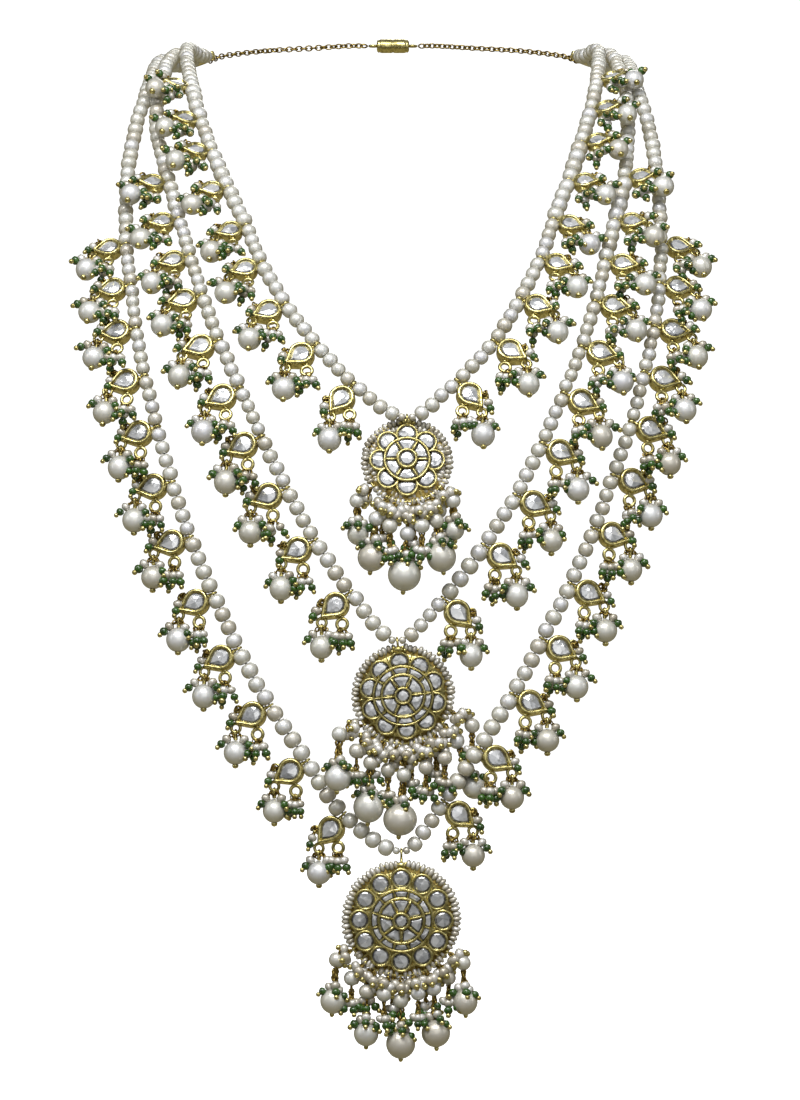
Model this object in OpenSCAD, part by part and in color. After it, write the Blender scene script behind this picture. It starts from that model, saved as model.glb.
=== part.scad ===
/* [Neck and chest] */
// Half the width of the loop where it passes over the shoulders
crest_half = 67; // [62:0.5:72]
// How far the loop comes forward just below the shoulders
shoulder_step = 20; // [16:1:24]
// Depth of the chest in front of the shoulder step
chest_depth = 100; // [90:1:106]
// Height over which the chest comes forward
chest_height = 135; // [128:1:142]
// Radius of the chest as seen from above
chest_round = 250; // [220:5:300]

/* [Pearl strands] */
// Diameter of a strand pearl
pearl_d = 4.3; // [4:0.1:4.3]
// Diameter of the silk thread
thread_d = 0.8; // [0.6:0.1:0.8]
// Distance between two strands where they meet the end bars
strand_pitch = 4.6; // [4.5:0.1:5]

/* [Polki settings] */
// Radius of the round end of a teardrop cup
cup_r = 3.3; // [3:0.1:3.3]
// Distance from the middle of the round end to the tip of the cup
cup_tip = 5.3; // [4.8:0.1:5.4]
// Height of the cup
cup_h = 2.4; // [2:0.1:2.6]
// Width of the gold rim round a stone
rim = 0.6; // [0.5:0.05:0.7]
// Distance from the thread to the middle of the cup's round end
cup_out = 5; // [5:0.1:5.2]
// Radius of the largest pearls that hang from the cups; towards the shoulders they get smaller
drop_r = 3.6; // [3:0.1:3.7]
// By how much of their size the settings grow from the shoulders, where they sit close, to the chest
growth = 0.15; // [0:0.05:0.15]

/* [Pendants] */
// Height of the petals above the back plate's back face
petal_h = 2.4; // [2:0.1:3]
// Rise from one tier of a flower to the next
tier_h = 0.8; // [0.5:0.1:1]
// Radius of the wire that carries the seed pearls round a flower
border_wire = 0.35; // [0.3:0.05:0.4]
// Forward swing that the small pendant leans by on the chest
small_tilt = 18; // [10:1:22]
// Angle by which the large pendant's face looks down
large_tilt = -3; // [-5:1:0]

/* [Hidden] */
SIDES = 8;
GAP = 0.12;
LINK_R = 1.15;
LINK_WIRE = 0.3;
SKIN = 0.1;
$fn = 32;

// Each strand's half is a list of the links that carry its settings, from the pendant up.
// Columns: x, z, lift off the chest, roll of the setting about its strand.
INNER_LEFT = [
    [-11.5, -114, 0, 6], [-22.5, -102, 0, 6], [-32, -89.5, 0, 6], [-39.5, -76.5, 0, 6], [-44.5, -64.5, 0, 6],
    [-50.5, -52, 0, 14], [-56, -39.5, 0, 22], [-60, -28.5, 0, 24], [-63.5, -17, 0, 26]];
INNER_RIGHT = [
    [19.5, -113, 0, 6], [30.5, -101, 0, 6], [38.5, -88, 0, 6], [45, -75, 0, 6], [49.5, -62.5, 0, 6],
    [54.5, -49.5, 0, 16], [59, -36.5, 0, 24], [62.5, -25, 0, 27], [65, -14.5, 0, 26]];
MIDDLE_LEFT = [
    [-12.5, -176, 0, 6], [-23, -160.5, 0, 6], [-31.5, -145, 0, 6], [-39, -129.5, 0, 6], [-45.5, -115, 0, 6],
    [-52, -100.5, 0, 6], [-57.5, -86.5, 0, 6], [-61.5, -74, 0, 8], [-65.5, -62, 0, 14], [-69, -50, 0, 20]];
MIDDLE_RIGHT = [
    [15.5, -178, 0, 6], [27.5, -162, 0, 6], [37, -147, 0, 6], [45, -131.5, 0, 6], [51.5, -116.5, 0, 6],
    [57, -102.5, 0, 6], [61.5, -88.5, 0, 8], [65, -75.5, 0, 14], [68.5, -62.5, 0, 20], [72, -48.5, 0, 24]];
OUTER_LEFT = [
    [-14.5, -242.5, 0, 6], [-25.5, -226.5, 0, 6], [-36.5, -210, 0, 6], [-46, -193, 0, 6], [-53.5, -176.5, 0, 6],
    [-60.5, -159.5, 0, 6], [-66, -143, 0, 6], [-70.5, -126.5, 0, 6], [-74.5, -111, 0, 6], [-77.5, -96.5, 0, 6],
    [-79.5, -83, 0, 6], [-81.5, -70, 0, 6]];
OUTER_RIGHT = [
    [15.5, -238.5, 2, 6], [26, -222.5, 3, 6], [36, -206.5, 0, 6], [45, -190, 0, 6], [53.5, -173.5, 0, 6],
    [60.5, -157, 0, 6], [66.5, -141, 0, 6], [72, -125, 0, 6], [76, -110, 0, 6], [79.5, -96, 0, 6],
    [81.5, -82.5, 0, 6], [82.5, -69.5, 0, 6]];

// Plain pearls between the last link and the crest. Columns: x, z.
MIDDLE_TOP = [[74, -31], [74, -17]];
OUTER_TOP = [[82.5, -49], [81, -32], [78, -18]];
// Where each strand passes over the shoulder, from the inner to the outer
CREST = [[67, 0, -1], [71.6, 1.5, -2.5], [76.2, 3, -4.5]];

// Threads of the three bails
SMALL_THREAD = [4.5, -128, -124];
MIDDLE_THREAD = [1.6, -129, -190.5];
LARGE_THREAD = [2.8, -128, -253.5];

// End of the middle strand at the right end bar, and the nape chain from there to the clasp
BAR_AT = [66, 31, -1];
BAR_REACH = 14.4;
NAPE = [[57, 53, 3], [44, 61, 5.5], [28, 66, 7], [15, 68, 8], [8.6, 68.4, 8]];
CHAIN_R = 1.1;

// Flowers. Columns: petals, petal circle, petal radius, ring outside, ring inside, cells, centre radius, border
SMALL_FLOWER = [8, 8, 3.4, 7.05, 7.05, 6, 3.1, 12.7];
MIDDLE_FLOWER = [10, 10, 3.2, 9.1, 6.7, 6, 2.6, 14.4];
LARGE_FLOWER = [12, 12.4, 3.3, 9.7, 7.15, 7, 2.7, 16.8];
// Where each flower hangs. Columns: thread, tilt, lean, reach from thread to middle, thread's depth
SMALL_HANG = [SMALL_THREAD, small_tilt, 0, 13, 3];
MIDDLE_HANG = [MIDDLE_THREAD, 0, -6, 16.5, 2];
LARGE_HANG = [LARGE_THREAD, large_tilt, 0, 20.3, 0];
// Fringe drops. Columns: upper pearl x, z, big pearl x, z, big pearl radius, how far forward
SMALL_FRINGE = [
    [-14.9, -11.7, -14.6, -21.7, 3.3, 0], [-9.2, -17.1, -10.5, -28.6, 4.3, 0], [0.1, -21.6, -0.8, -33.7, 5, 0],
    [8.8, -17.7, 10.2, -28.4, 4.5, 0], [13.6, -11.7, 14.1, -20.5, 3, 0]];
MIDDLE_FRINGE = [
    [-19, -11.4, -19.5, -24.3, 4, 4.5], [-9.7, -20.1, -10.3, -33.2, 4.7, 1], [0.2, -23.7, -0.9, -36.9, 5, 1],
    [16.1, -13.8, 21.5, -27.3, 3.8, -3]];
LARGE_FRINGE = [
    [-19.4, -12, -20.4, -24.3, 3.8, 0], [-10.4, -21.6, -10.5, -34.1, 3.7, 0], [-0.2, -24.3, -0.2, -37.1, 4.4, 0],
    [9.7, -20.7, 10.3, -33.9, 4.4, 0], [18.4, -12.9, 19, -24.5, 3.9, 0]];

STRANDS = ["inner_left", "inner_right", "middle_left", "middle_right", "outer_left", "outer_right"];
LINKS = [INNER_LEFT, INNER_RIGHT, MIDDLE_LEFT, MIDDLE_RIGHT, OUTER_LEFT, OUTER_RIGHT];
PENDANTS = ["small", "middle", "large"];
HANGS = [SMALL_HANG, MIDDLE_HANG, LARGE_HANG];
FLOWERS = [SMALL_FLOWER, MIDDLE_FLOWER, LARGE_FLOWER];
FRINGES = [SMALL_FRINGE, MIDDLE_FRINGE, LARGE_FRINGE];

// Vectors
function unit(v) = v / norm(v);
function flat_to(v, n) = unit(v - (v * n) * n);
function turned(v, n, a) = cos(a) * v + sin(a) * cross(n, v);

// The chest that the strands lie on: y for a place x, z, and its outward normal
function chest_y(x, z) = let (t = max(-z, 0))
    -shoulder_step * (1 - exp(-t / 6)) - chest_depth * sin(90 * min(t / chest_height, 1))
    + (x * x - crest_half * crest_half) / (2 * chest_round) + 0.0015 * pow(max(t - 190, 0), 2);
function chest_normal(x, z) = unit([
    chest_y(x + 0.5, z) - chest_y(x - 0.5, z), -1, chest_y(x, z + 0.5) - chest_y(x, z - 0.5)]);
function on_chest(x, z, lift = 0) = [x, chest_y(x, z), z] + lift * [0, -1, 0];

// End bar: its axis runs on along the strands, its row lies across them
function bar_at(side) = [side * BAR_AT.x, BAR_AT.y, BAR_AT.z];
function bar_axis(side) = unit([-0.18 * side, 0.98, 0.08]);
function bar_row(side) = flat_to([side, 0.15, -0.35], bar_axis(side));

// A strand half's route: its bail's thread, its links, its plain pearls, the crest and its end bar
function side_of(h) = h % 2 == 0 ? -1 : 1;
function level_of(h) = floor(h / 2);
function thread_of(h) = HANGS[level_of(h)][0];
function plain_top(h) = [[], MIDDLE_TOP, OUTER_TOP][level_of(h)];
function route(h) = let (s = side_of(h), k = level_of(h), e = bar_at(s) + strand_pitch * (k - 1) * bar_row(s))
    concat(
        [thread_of(h)],
        [for (p = LINKS[h]) on_chest(p[0], p[1], p[2])],
        [for (p = plain_top(h)) on_chest(s * p[0], p[1])],
        [[s * CREST[k].x, CREST[k].y, CREST[k].z], e - 9 * bar_axis(s), e]);

// Catmull-Rom curve through a route's points. At the bail it runs level from one half into the other.
function before(p) = [2 * p[0].x - p[1].x, p[1].y, p[1].z];
function after(p) = 2 * p[len(p) - 1] - p[len(p) - 2];
function knot(p, i) = i < 0 ? before(p) : i >= len(p) ? after(p) : p[i];
function along(p, i, u) = let (a = knot(p, i - 1), b = knot(p, i), c = knot(p, i + 1), d = knot(p, i + 2))
    0.5 * (2 * b + (c - a) * u + (2 * a - 5 * b + 4 * c - d) * u * u + (3 * b - a - 3 * c + d) * u * u * u);
function heading(p, i, u) = let (a = knot(p, i - 1), b = knot(p, i), c = knot(p, i + 1), d = knot(p, i + 2))
    unit((c - a) + 2 * (2 * a - 5 * b + 4 * c - d) * u + 3 * (3 * b - a - 3 * c + d) * u * u);
function span(p, i) = norm(knot(p, i + 1) - knot(p, i));

// Rings of a strand's tube: span, share of the span, radius. It narrows to the thread at each link.
PEARL_R = pearl_d / 2;
BAIL_PROFILE = [[0, thread_d / 2], [0.8, thread_d / 2], [1.1, 1], [2, 1], [3.6, PEARL_R]];
LINK_PROFILE = [[1.1, 1.4], [2.4, PEARL_R]];
function strand_rings(p, n) = concat(
    [for (q = BAIL_PROFILE) [0, q[0] / span(p, 0), q[1]]],
    [for (i = [1:n]) each concat(
        [for (j = [1, 0]) [i - 1, 1 - LINK_PROFILE[j][0] / span(p, i - 1), LINK_PROFILE[j][1]]],
        [[i, 0, 0.35]],
        [for (j = [0, 1]) [i, LINK_PROFILE[j][0] / span(p, i), LINK_PROFILE[j][1]]])],
    [for (i = [n:len(p) - 2]) each [for (u = [0.4, 0.7, 1]) if (i > n || u > 0.5) [i, u, PEARL_R]]]);
function tube_rings(p, r) = concat([[0, 0, r]], [for (i = [0:len(p) - 2]) each [[i, 0.5, r], [i, 1, r]]]);

// A tube of SIDES flats along a route, as one closed surface
module tube(p, rings) {
    points = [for (q = rings)
        let (c = along(p, q[0], q[1]), t = heading(p, q[0], q[1]), e = flat_to([c.x, c.y - 10, 0], t), f = cross(t, e))
        for (j = [0:SIDES - 1]) c + q[2] * (cos(360 * j / SIDES) * e + sin(360 * j / SIDES) * f)];
    last = len(rings) - 1;
    walls = [for (i = [0:last - 1]) for (j = [0:SIDES - 1])
        let (a = i * SIDES + j, b = i * SIDES + (j + 1) % SIDES)
        each [[a, a + SIDES, b], [b, a + SIDES, b + SIDES]]];
    ends = [for (j = [1:SIDES - 2]) each [[0, j, j + 1], [last * SIDES, last * SIDES + j + 1, last * SIDES + j]]];
    polyhedron(points, concat(walls, ends));
}

// Small shapes
module placed(o, x, y, z) {
    multmatrix([[x.x, y.x, z.x, o.x], [x.y, y.y, z.y, o.y], [x.z, y.z, z.z, o.z], [0, 0, 0, 1]]) children();
}
module ring(big, wire) {
    rotate_extrude() translate([big, 0]) circle(wire);
}
module rod(a, b, r) {
    d = b - a;
    translate(a) rotate([0, acos(d.z / norm(d)), atan2(d.y, d.x)]) cylinder(h = norm(d), r = r);
}
module bead(p, r, turn = 0) {
    translate(p) rotate([0, 0, turn]) sphere(r);
}

// Teardrop outline: a round end at the middle and a tip along +X
function tear_angle() = acos(cup_r / cup_tip);
module teardrop(r) {
    t = r * cup_tip / cup_r;
    c = 0.985 * r * cos(tear_angle());
    s = 0.985 * r * sin(tear_angle());
    union() {
        circle(r);
        polygon([[0, 0], [c, -s], [t, 0], [c, s]]);
    }
}
function tear_point(r, a) = let (f = abs(a > 180 ? a - 360 : a), k = f < tear_angle() ? min(r / cos(tear_angle() - f), 1.4 * r) : r)
    k * [cos(a), sin(a)];

// A flat cut stone: a straight girdle, a bevelled crown and a table, over a convex outline
module polki_stone(outline, low, girdle, table) {
    n = len(outline);
    mid = [for (k = [0, 1]) [for (p = outline) p[k]] * [for (p = outline) 1] / n];
    points = concat(
        [for (p = outline) [p.x, p.y, low]],
        [for (p = outline) [p.x, p.y, girdle]],
        [for (p = outline) let (q = mid + 0.62 * (p - mid)) [q.x, q.y, table]]);
    sides = [for (k = [0, n]) for (j = [0:n - 1]) let (a = k + j, b = k + (j + 1) % n)
        each [[a, a + n, b], [b, a + n, b + n]]];
    faces = [for (j = [1:n - 2]) each [[0, j, j + 1], [2 * n, 2 * n + j + 1, 2 * n + j]]];
    polyhedron(points, concat(sides, faces));
}

// A setting's places, worked out at its link: thread point, outward, across, face normal
function sway(k) = 4 * sin(97 * k);
function setting_frame(h, k) = let (
    p = route(h), o = p[k], t = heading(p, k, 0), n0 = flat_to(chest_normal(o.x, o.z), t),
    w0 = cross(t, n0), w = w0.x * side_of(h) < 0 ? -w0 : w0,
    down = t.z > 0 ? -t : t, roll = LINKS[h][k - 1][3],
    out = cos(roll) * w + sin(roll) * n0, n = cos(roll) * n0 - sin(roll) * w,
    out2 = unit(cos(sway(k)) * out + sin(sway(k)) * down))
    [o, out2, cross(n, out2), n, down, roll, 1 + growth * min(max((-o.z - 60) / 40, 0), 1)];
// The way that a drop hangs there: down the chest, and slightly off it
function hang_way(f) = let (n = chest_normal(f[0].x, f[0].z), g = flat_to([0, 0, -1], n), lift = 5 + 0.45 * f[5])
    cos(lift) * g + sin(lift) * n;
function cup_middle(f) = f[0] + f[6] * cup_out * f[1];
function cup_end(f) = f[0] + f[6] * (cup_out + cup_tip) * f[1];
// Middles of the three rings under a cup: the cluster ring, the drop's ring and the side ring
CLUSTER_R = 1.5;
DROP_RING_R = 1.2;
SIDE_RING_R = 0.85;
function cluster_way(f) = unit(0.9 * flat_to(f[4], f[3]) + 0.35 * flat_to([0, 0, -1], f[3]));
function cluster_edge(f) = cup_middle(f) + f[6] * (cup_r - 0.22) * cluster_way(f);
function cluster_ring(f) = cluster_edge(f) + f[6] * (0.5 * cluster_way(f) + (CLUSTER_R + 0.5) * hang_way(f));
function drop_ring(f) = cup_end(f) + f[6] * (DROP_RING_R * hang_way(f) - 0.3 * f[1]);
function side_ring(f) = cup_middle(f) + f[6] * (2.6 * f[1] - 2.9 * flat_to(f[4], f[1]));
module hung(f, at) {
    up = -hang_way(f);
    back = -flat_to(f[3], up);
    placed(at, cross(back, up), back, up) children();
}

module cup(f) {
    s = f[6];
    placed(f[0], f[1], f[2], f[3]) {
        difference() {
            translate([s * cup_out, 0, -s * cup_h / 2]) linear_extrude(s * cup_h) teardrop(s * cup_r);
            translate([s * cup_out, 0, s * (0.8 - cup_h / 2)]) linear_extrude(s * cup_h) teardrop(s * (cup_r - rim));
        }
        rotate([90, 0, 0]) ring(LINK_R, LINK_WIRE);
        rod([LINK_R, 0, 0], [2.2 * s, 0, 0], 0.4);
    }
    rod(cluster_edge(f), cluster_ring(f) - s * CLUSTER_R * hang_way(f), 0.42 * s);
    hung(f, cluster_ring(f)) rotate([90, 0, 0]) ring(s * CLUSTER_R, s * 0.45);
    hung(f, drop_ring(f)) rotate([90, 0, 0]) ring(s * DROP_RING_R, s * 0.33);
    placed(side_ring(f), f[1], f[2], f[3]) ring(s * SIDE_RING_R, s * 0.28);
}
module stone_in_cup(f) {
    s = f[6];
    r = s * (cup_r - rim) - SKIN;
    placed(cup_middle(f), f[1], f[2], f[3])
        polki_stone([for (i = [0:11]) tear_point(r, 30 * i)], s * (0.8 - cup_h / 2) + SKIN, s * 0.5, s * 1.15);
}
// A drop: its wire loop through the cup's ring, its pin, its pearl and the ball that ends the pin
DROP_LOOP = 0.95;
DROP_WIRE = 0.27;
function drop_size(f) = drop_r * (0.86 + 0.14 * min(-f[0].z / 120, 1));
function loop_down(s) = s * (DROP_RING_R - 0.33 - DROP_WIRE + DROP_LOOP) - GAP;
module drop(f) {
    r = drop_size(f);
    s = f[6];
    pearl_z = -loop_down(s) - s * (DROP_LOOP + 0.9) - r;
    hung(f, drop_ring(f)) {
        translate([0, 0, -loop_down(s)]) rotate([0, 90, 0]) ring(s * DROP_LOOP, s * DROP_WIRE);
        rod([0, 0, pearl_z], [0, 0, -loop_down(s) - s * DROP_LOOP], 0.3);
        bead([0, 0, pearl_z], r);
        bead([0, 0, pearl_z - r - 0.25], 0.75);
    }
}

// Strands with their settings
module strand(h) {
    color("ghostwhite") tube(route(h), strand_rings(route(h), len(LINKS[h])));
}
module settings(h) {
    color("goldenrod") for (k = [1:len(LINKS[h])]) cup(setting_frame(h, k));
}
module polki(h) {
    color("lightsteelblue") for (k = [1:len(LINKS[h])]) stone_in_cup(setting_frame(h, k));
}
module drops(h) {
    color("seashell") for (k = [1:len(LINKS[h])]) drop(setting_frame(h, k));
}

// A pendant's own frame has its flower's middle at the origin, +Y to its bail and its face to +Z
module hanging(g) {
    translate(g[0]) rotate([90 - g[1], 0, 0]) rotate([0, 0, -g[2]]) translate([0, -g[3], -g[4]]) children();
}
function turn_x(v, a) = [v.x, v.y * cos(a) - v.z * sin(a), v.y * sin(a) + v.z * cos(a)];
function turn_z(v, a) = [v.x * cos(a) - v.y * sin(a), v.x * sin(a) + v.y * cos(a), v.z];
function seated(g, v) = g[0] + turn_x(turn_z(v - [0, g[3], g[4]], -g[2]), 90 - g[1]);

BAIL_WIRE = 0.35;
LEDGE = 0.06;
function bail_r(g) = g[3] > 15 ? 1.5 : 1.2;
function bail_y(g) = g[3] - bail_r(g) + BAIL_WIRE + thread_d / 2 + GAP;
// The lug that joins the bail to the top petal stays within the petal's height
function lug_z(g) = min(max(g[4], 0.6), petal_h - 0.6);
// A tier's cells: sectors between two radii, parted by gold walls
module cells(n, inside, outside, low) {
    wall = 0.55;
    turn = 360 / n;
    gap = 2 * asin(wall / (inside + outside));
    for (i = [0:n - 1]) rotate([0, 0, 90 + i * turn - (turn - gap) / 2])
        translate([0, 0, low]) rotate_extrude(angle = turn - gap) translate([inside, 0]) square([outside - inside, 4]);
}
module flower(f, g) {
    n = f[0];
    border = f[7];
    tiers = f[3] > f[4] ? 3 : 2;
    top = petal_h + tiers * tier_h;
    color("goldenrod") hanging(g) {
        difference() {
            union() {
                cylinder(h = 0.9, r = f[1] + 0.6);
                for (i = [0:n - 1]) rotate([0, 0, 90 + 360 * i / n]) translate([f[1], 0, 0])
                    cylinder(h = petal_h - LEDGE * (i % 2), r = f[2]);
                cylinder(h = petal_h + tier_h, r = f[3]);
                if (tiers == 3) cylinder(h = petal_h + 2 * tier_h, r = f[4]);
                cylinder(h = top, r = f[6]);
            }
            difference() {
                for (i = [0:n - 1]) rotate([0, 0, 90 + 360 * i / n]) translate([f[1], 0, 1.2])
                    cylinder(h = 4, r = f[2] - rim);
                cylinder(h = 9, r = f[3]);
            }
            if (tiers == 3) cells(n, f[4] + LEDGE, f[3] - rim, 1.8);
            cells(f[5], f[6] + LEDGE, f[4] - rim, 1.8 + (tiers - 2) * tier_h);
            translate([0, 0, top - 1.6]) cylinder(h = 4, r = f[6] - rim);
        }
        rotate([0, 0, 105]) rotate_extrude(angle = 330) translate([border, 0.6]) circle(border_wire);
        for (i = [0:n - 1]) rotate([0, 0, 90 + 360 * (i + 0.5) / n])
            rod([f[1], 0, 0.6], [border, 0, 0.6], 0.27);
        rod([0, f[1] + f[2] - 0.35, lug_z(g)], [0, bail_y(g) - bail_r(g) + 0.15, lug_z(g)], 0.45);
        translate([0, bail_y(g), g[4]])
            rotate([0, 90, 0]) ring(bail_r(g), BAIL_WIRE);
    }
}
// Petal stones fill the petals outside the tier's wall; the centre stone stands in the top cup
function petal_point(f, a) = let (r = f[2] - rim - SKIN, q = f[3] + SKIN, c = f[1], b = c * cos(a),
    s = b * b - c * c + q * q, k = (cos(a) < 0 && s > 0) ? min(r, -b - sqrt(s)) : r) [k * cos(a), k * sin(a)];
module petal_polki(f, g) {
    color("lightsteelblue") hanging(g) for (i = [0:f[0] - 1]) rotate([0, 0, 90 + 360 * i / f[0]])
        translate([f[1], 0, 0]) polki_stone([for (j = [0:11]) petal_point(f, 15 + 30 * j)], 1.2 + SKIN, 1.9, 2.4);
}
module centre_polki(f, g) {
    top = petal_h + (f[3] > f[4] ? 3 : 2) * tier_h;
    r = f[6] - rim - SKIN;
    color("lightsteelblue") hanging(g)
        polki_stone([for (j = [0:11]) r * [cos(30 * j), sin(30 * j)]], top - 1.6 + SKIN, top - 0.5, top);
}

// A pendant's fringe drops: a ring round the border wire, the upper pearl, the big pearl and its ball
FRINGE_RING_R = 0.8;
FRINGE_WIRE = 0.24;
function border_point(f, g, p) = seated(g, concat(f[7] * unit([p[0], p[1]]), [0.6]));
function flower_middle(g) = seated(g, [0, 0, 0.6]);
module fringe_drop(f, g, p) {
    b = border_point(f, g, p);
    spin = 90 + atan2(p[1], p[0]);
    m = flower_middle(g) + [p[0], b.y - flower_middle(g).y - p[5] / 2, p[1]];
    e = flower_middle(g) + [p[2], b.y - flower_middle(g).y - p[5], p[3]];
    way = unit(e - m);
    turn = p[5] < 0 ? 90 : 0; // a drop that leans far out has its pearls turned a quarter on the wire
    color("seashell") {
        translate(b + (FRINGE_RING_R - border_wire - FRINGE_WIRE - GAP) * unit(m - b))
            rotate([0, -spin, 0]) rotate([0, 90, 0]) ring(FRINGE_RING_R, FRINGE_WIRE);
        rod(b + (2 * FRINGE_RING_R - border_wire - FRINGE_WIRE - GAP) * unit(m - b), m, 0.35);
        bead(m, 2.3, turn);
        rod(m, e, 0.4);
        bead(e, p[4], turn);
        bead(e + (p[4] + 0.25) * way, 0.8, turn);
    }
}

// End bars, nape chain and clasp close the loop behind the neck
module end_bar(side) {
    color("goldenrod") placed(bar_at(side), side * bar_row(side), cross(bar_axis(side), side * bar_row(side)),
        -bar_axis(side)) rotate([-90, 0, 0]) {
        translate([0, 0, -1.2]) linear_extrude(2.4)
            polygon([[-7, 0.2], [7, 0.2], [7, 2.2], [1.8, 10.4], [-1.8, 10.4], [-7, 2.2]]);
        translate([0, 11.3, 0]) ring(1.3, 0.45);
    }
}
module nape_chain(side) {
    p = concat([bar_at(side) + BAR_REACH * bar_axis(side)], [for (q = NAPE) [side * q.x, q.y, q.z]]);
    color("goldenrod") tube(p, tube_rings(p, CHAIN_R));
}
module clasp() {
    e = NAPE[len(NAPE) - 1];
    color("goldenrod") translate([0, e.y, e.z]) rotate([0, 90, 0]) {
        cylinder(h = 11, r = 2.4, center = true);
        for (s = [-1, 1]) translate([0, 0, s * (e.x - 1.9)]) rotate([90, 0, 0]) ring(1.25, 0.45);
    }
}

for (h = [0:5]) {
    strand(h);
    settings(h);
    polki(h);
    drops(h);
}
for (k = [0:2]) {
    flower(FLOWERS[k], HANGS[k]);
    petal_polki(FLOWERS[k], HANGS[k]);
    centre_polki(FLOWERS[k], HANGS[k]);
    for (i = [1:len(FRINGES[k])])
        fringe_drop(FLOWERS[k], HANGS[k], FRINGES[k][i - 1]);
}
end_bar(-1);  // end_bar_left
end_bar(1);  // end_bar_right
nape_chain(-1);  // nape_chain_left
nape_chain(1);  // nape_chain_right
clasp();
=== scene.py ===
# %% [markdown]
# # A polki necklace of pearls and gold
# The real object is a jewel of three pearl strands. Teardrop gold cups with foil-backed stones
# sit along the strands, a round pearl hangs from each cup, and a flower pendant with a fringe
# of pearls hangs in the middle of each strand.
#
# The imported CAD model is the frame. Its tubes, cups and drops say where everything is, and this
# script makes what the eye sees at the same places: single pearls, rounded gold, cut stones.

# %% The frame
import math

import bpy
import numpy as np
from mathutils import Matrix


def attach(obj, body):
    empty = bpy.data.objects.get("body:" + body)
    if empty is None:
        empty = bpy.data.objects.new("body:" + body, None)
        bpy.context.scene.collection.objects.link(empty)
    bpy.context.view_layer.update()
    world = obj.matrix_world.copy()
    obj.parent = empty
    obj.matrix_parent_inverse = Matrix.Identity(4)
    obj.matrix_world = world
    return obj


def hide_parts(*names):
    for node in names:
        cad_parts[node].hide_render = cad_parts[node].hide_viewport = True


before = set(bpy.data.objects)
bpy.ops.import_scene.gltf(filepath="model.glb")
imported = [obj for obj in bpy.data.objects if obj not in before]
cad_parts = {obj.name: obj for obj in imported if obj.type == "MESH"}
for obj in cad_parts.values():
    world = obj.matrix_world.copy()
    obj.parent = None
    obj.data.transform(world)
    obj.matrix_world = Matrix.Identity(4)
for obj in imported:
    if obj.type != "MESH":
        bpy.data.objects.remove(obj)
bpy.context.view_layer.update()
MM = 0.001
chance = np.random.default_rng(7)

# %% [markdown]
# ## Camera and studio
# A jewel is photographed straight on from a little way off, so that its parts keep their
# proportions. The lens is long and the camera stands 1.4 m in front of the pendants. The floor
# runs up behind into a wall in one sweep, so no horizon line crosses the picture.

# %% Camera
PICTURE_TALL = 0.33
PICTURE_MIDDLE = (0.0024, -0.12, -0.1635)
CAMERA_AWAY = 1.4
SENSOR_TALL = 36
eye = bpy.data.cameras.new("camera")
eye.sensor_fit = "VERTICAL"
eye.sensor_height = SENSOR_TALL
eye.lens = SENSOR_TALL * CAMERA_AWAY / PICTURE_TALL
camera = bpy.data.objects.new("camera", eye)
camera.location = (PICTURE_MIDDLE[0], PICTURE_MIDDLE[1] - CAMERA_AWAY, PICTURE_MIDDLE[2])
camera.rotation_euler = (math.pi / 2, 0, 0)
bpy.context.collection.objects.link(camera)
bpy.context.scene.camera = camera
# Plain tones: white paper stays white, and the pearls keep their full contrast
bpy.context.scene.view_settings.view_transform = "Standard"
print("lens", round(eye.lens, 1), "mm")

# %% Meshes from arrays
def add_mesh(name, points, quads, triangles=(), smooth=True, tone_and_painted_shade=None):
    """A mesh object from points in mm. Object coordinates are metres in the shared frame."""
    mesh = bpy.data.meshes.new(name)
    faces = np.asarray(quads).tolist() + np.asarray(triangles).tolist()
    mesh.from_pydata((np.asarray(points) * MM).tolist(), [], faces)
    mesh.polygons.foreach_set("use_smooth", np.full(len(mesh.polygons), smooth))
    if tone_and_painted_shade is not None:
        layer = mesh.attributes.new("tone_and_painted_shade", "FLOAT", "POINT")
        layer.data.foreach_set("value", np.asarray(tone_and_painted_shade, dtype=np.float32))
    mesh.update()
    piece = bpy.data.objects.new(name, mesh)
    bpy.context.collection.objects.link(piece)
    return piece


# %% [markdown]
# ## Nodes
# The surround and every finish are small node networks. Helpers add a node and join it to the
# ones before it, so that each network reads from top to bottom like a recipe.

# %% Node helpers
def finish(name, settings):
    """A new material with its node tree and its Principled shader, whose sockets take the settings."""
    material = bpy.data.materials.new(name)
    material.use_nodes = True
    shader = material.node_tree.nodes["Principled BSDF"]
    for socket, value in settings.items():
        shader.inputs[socket].default_value = value
    return material, material.node_tree, shader


def add_node(tree, kind, settings=None, **links):
    """A node of this kind. Settings are socket values by name; links join sockets of other nodes."""
    new = tree.nodes.new(kind)
    for socket, value in (settings or {}).items():
        new.inputs[socket].default_value = value
    for socket, source in links.items():
        tree.links.new(source, new.inputs[socket])
    return new


def shades(tree, source, stops):
    """A colour ramp over source. Each stop is (position, (red, green, blue))."""
    ramp = add_node(tree, "ShaderNodeValToRGB", Fac=source)
    bar = ramp.color_ramp
    while len(bar.elements) < len(stops):
        bar.elements.new(0.5)
    for stop, (position, colour) in zip(bar.elements, stops):
        stop.position = position
        stop.color = (*colour, 1)
    return ramp.outputs["Color"]


def coloured(tree, shader, source, stops):
    """The shader's colour from a ramp over source."""
    tree.links.new(shades(tree, source, stops), shader.inputs["Base Color"])


def tone_and_painted_shade_of(tree):
    """Each point's number from 0 to 1: a pearl's tone, and for a stone each facet's painted shade."""
    tone_and_painted_shade = tree.nodes.new("ShaderNodeAttribute")
    tone_and_painted_shade.attribute_name = "tone_and_painted_shade"
    return tone_and_painted_shade.outputs["Fac"]


def object_place(tree):
    """Object coordinates, which every noise uses, so that it rides with its piece."""
    return tree.nodes.new("ShaderNodeTexCoord").outputs["Object"]


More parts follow.
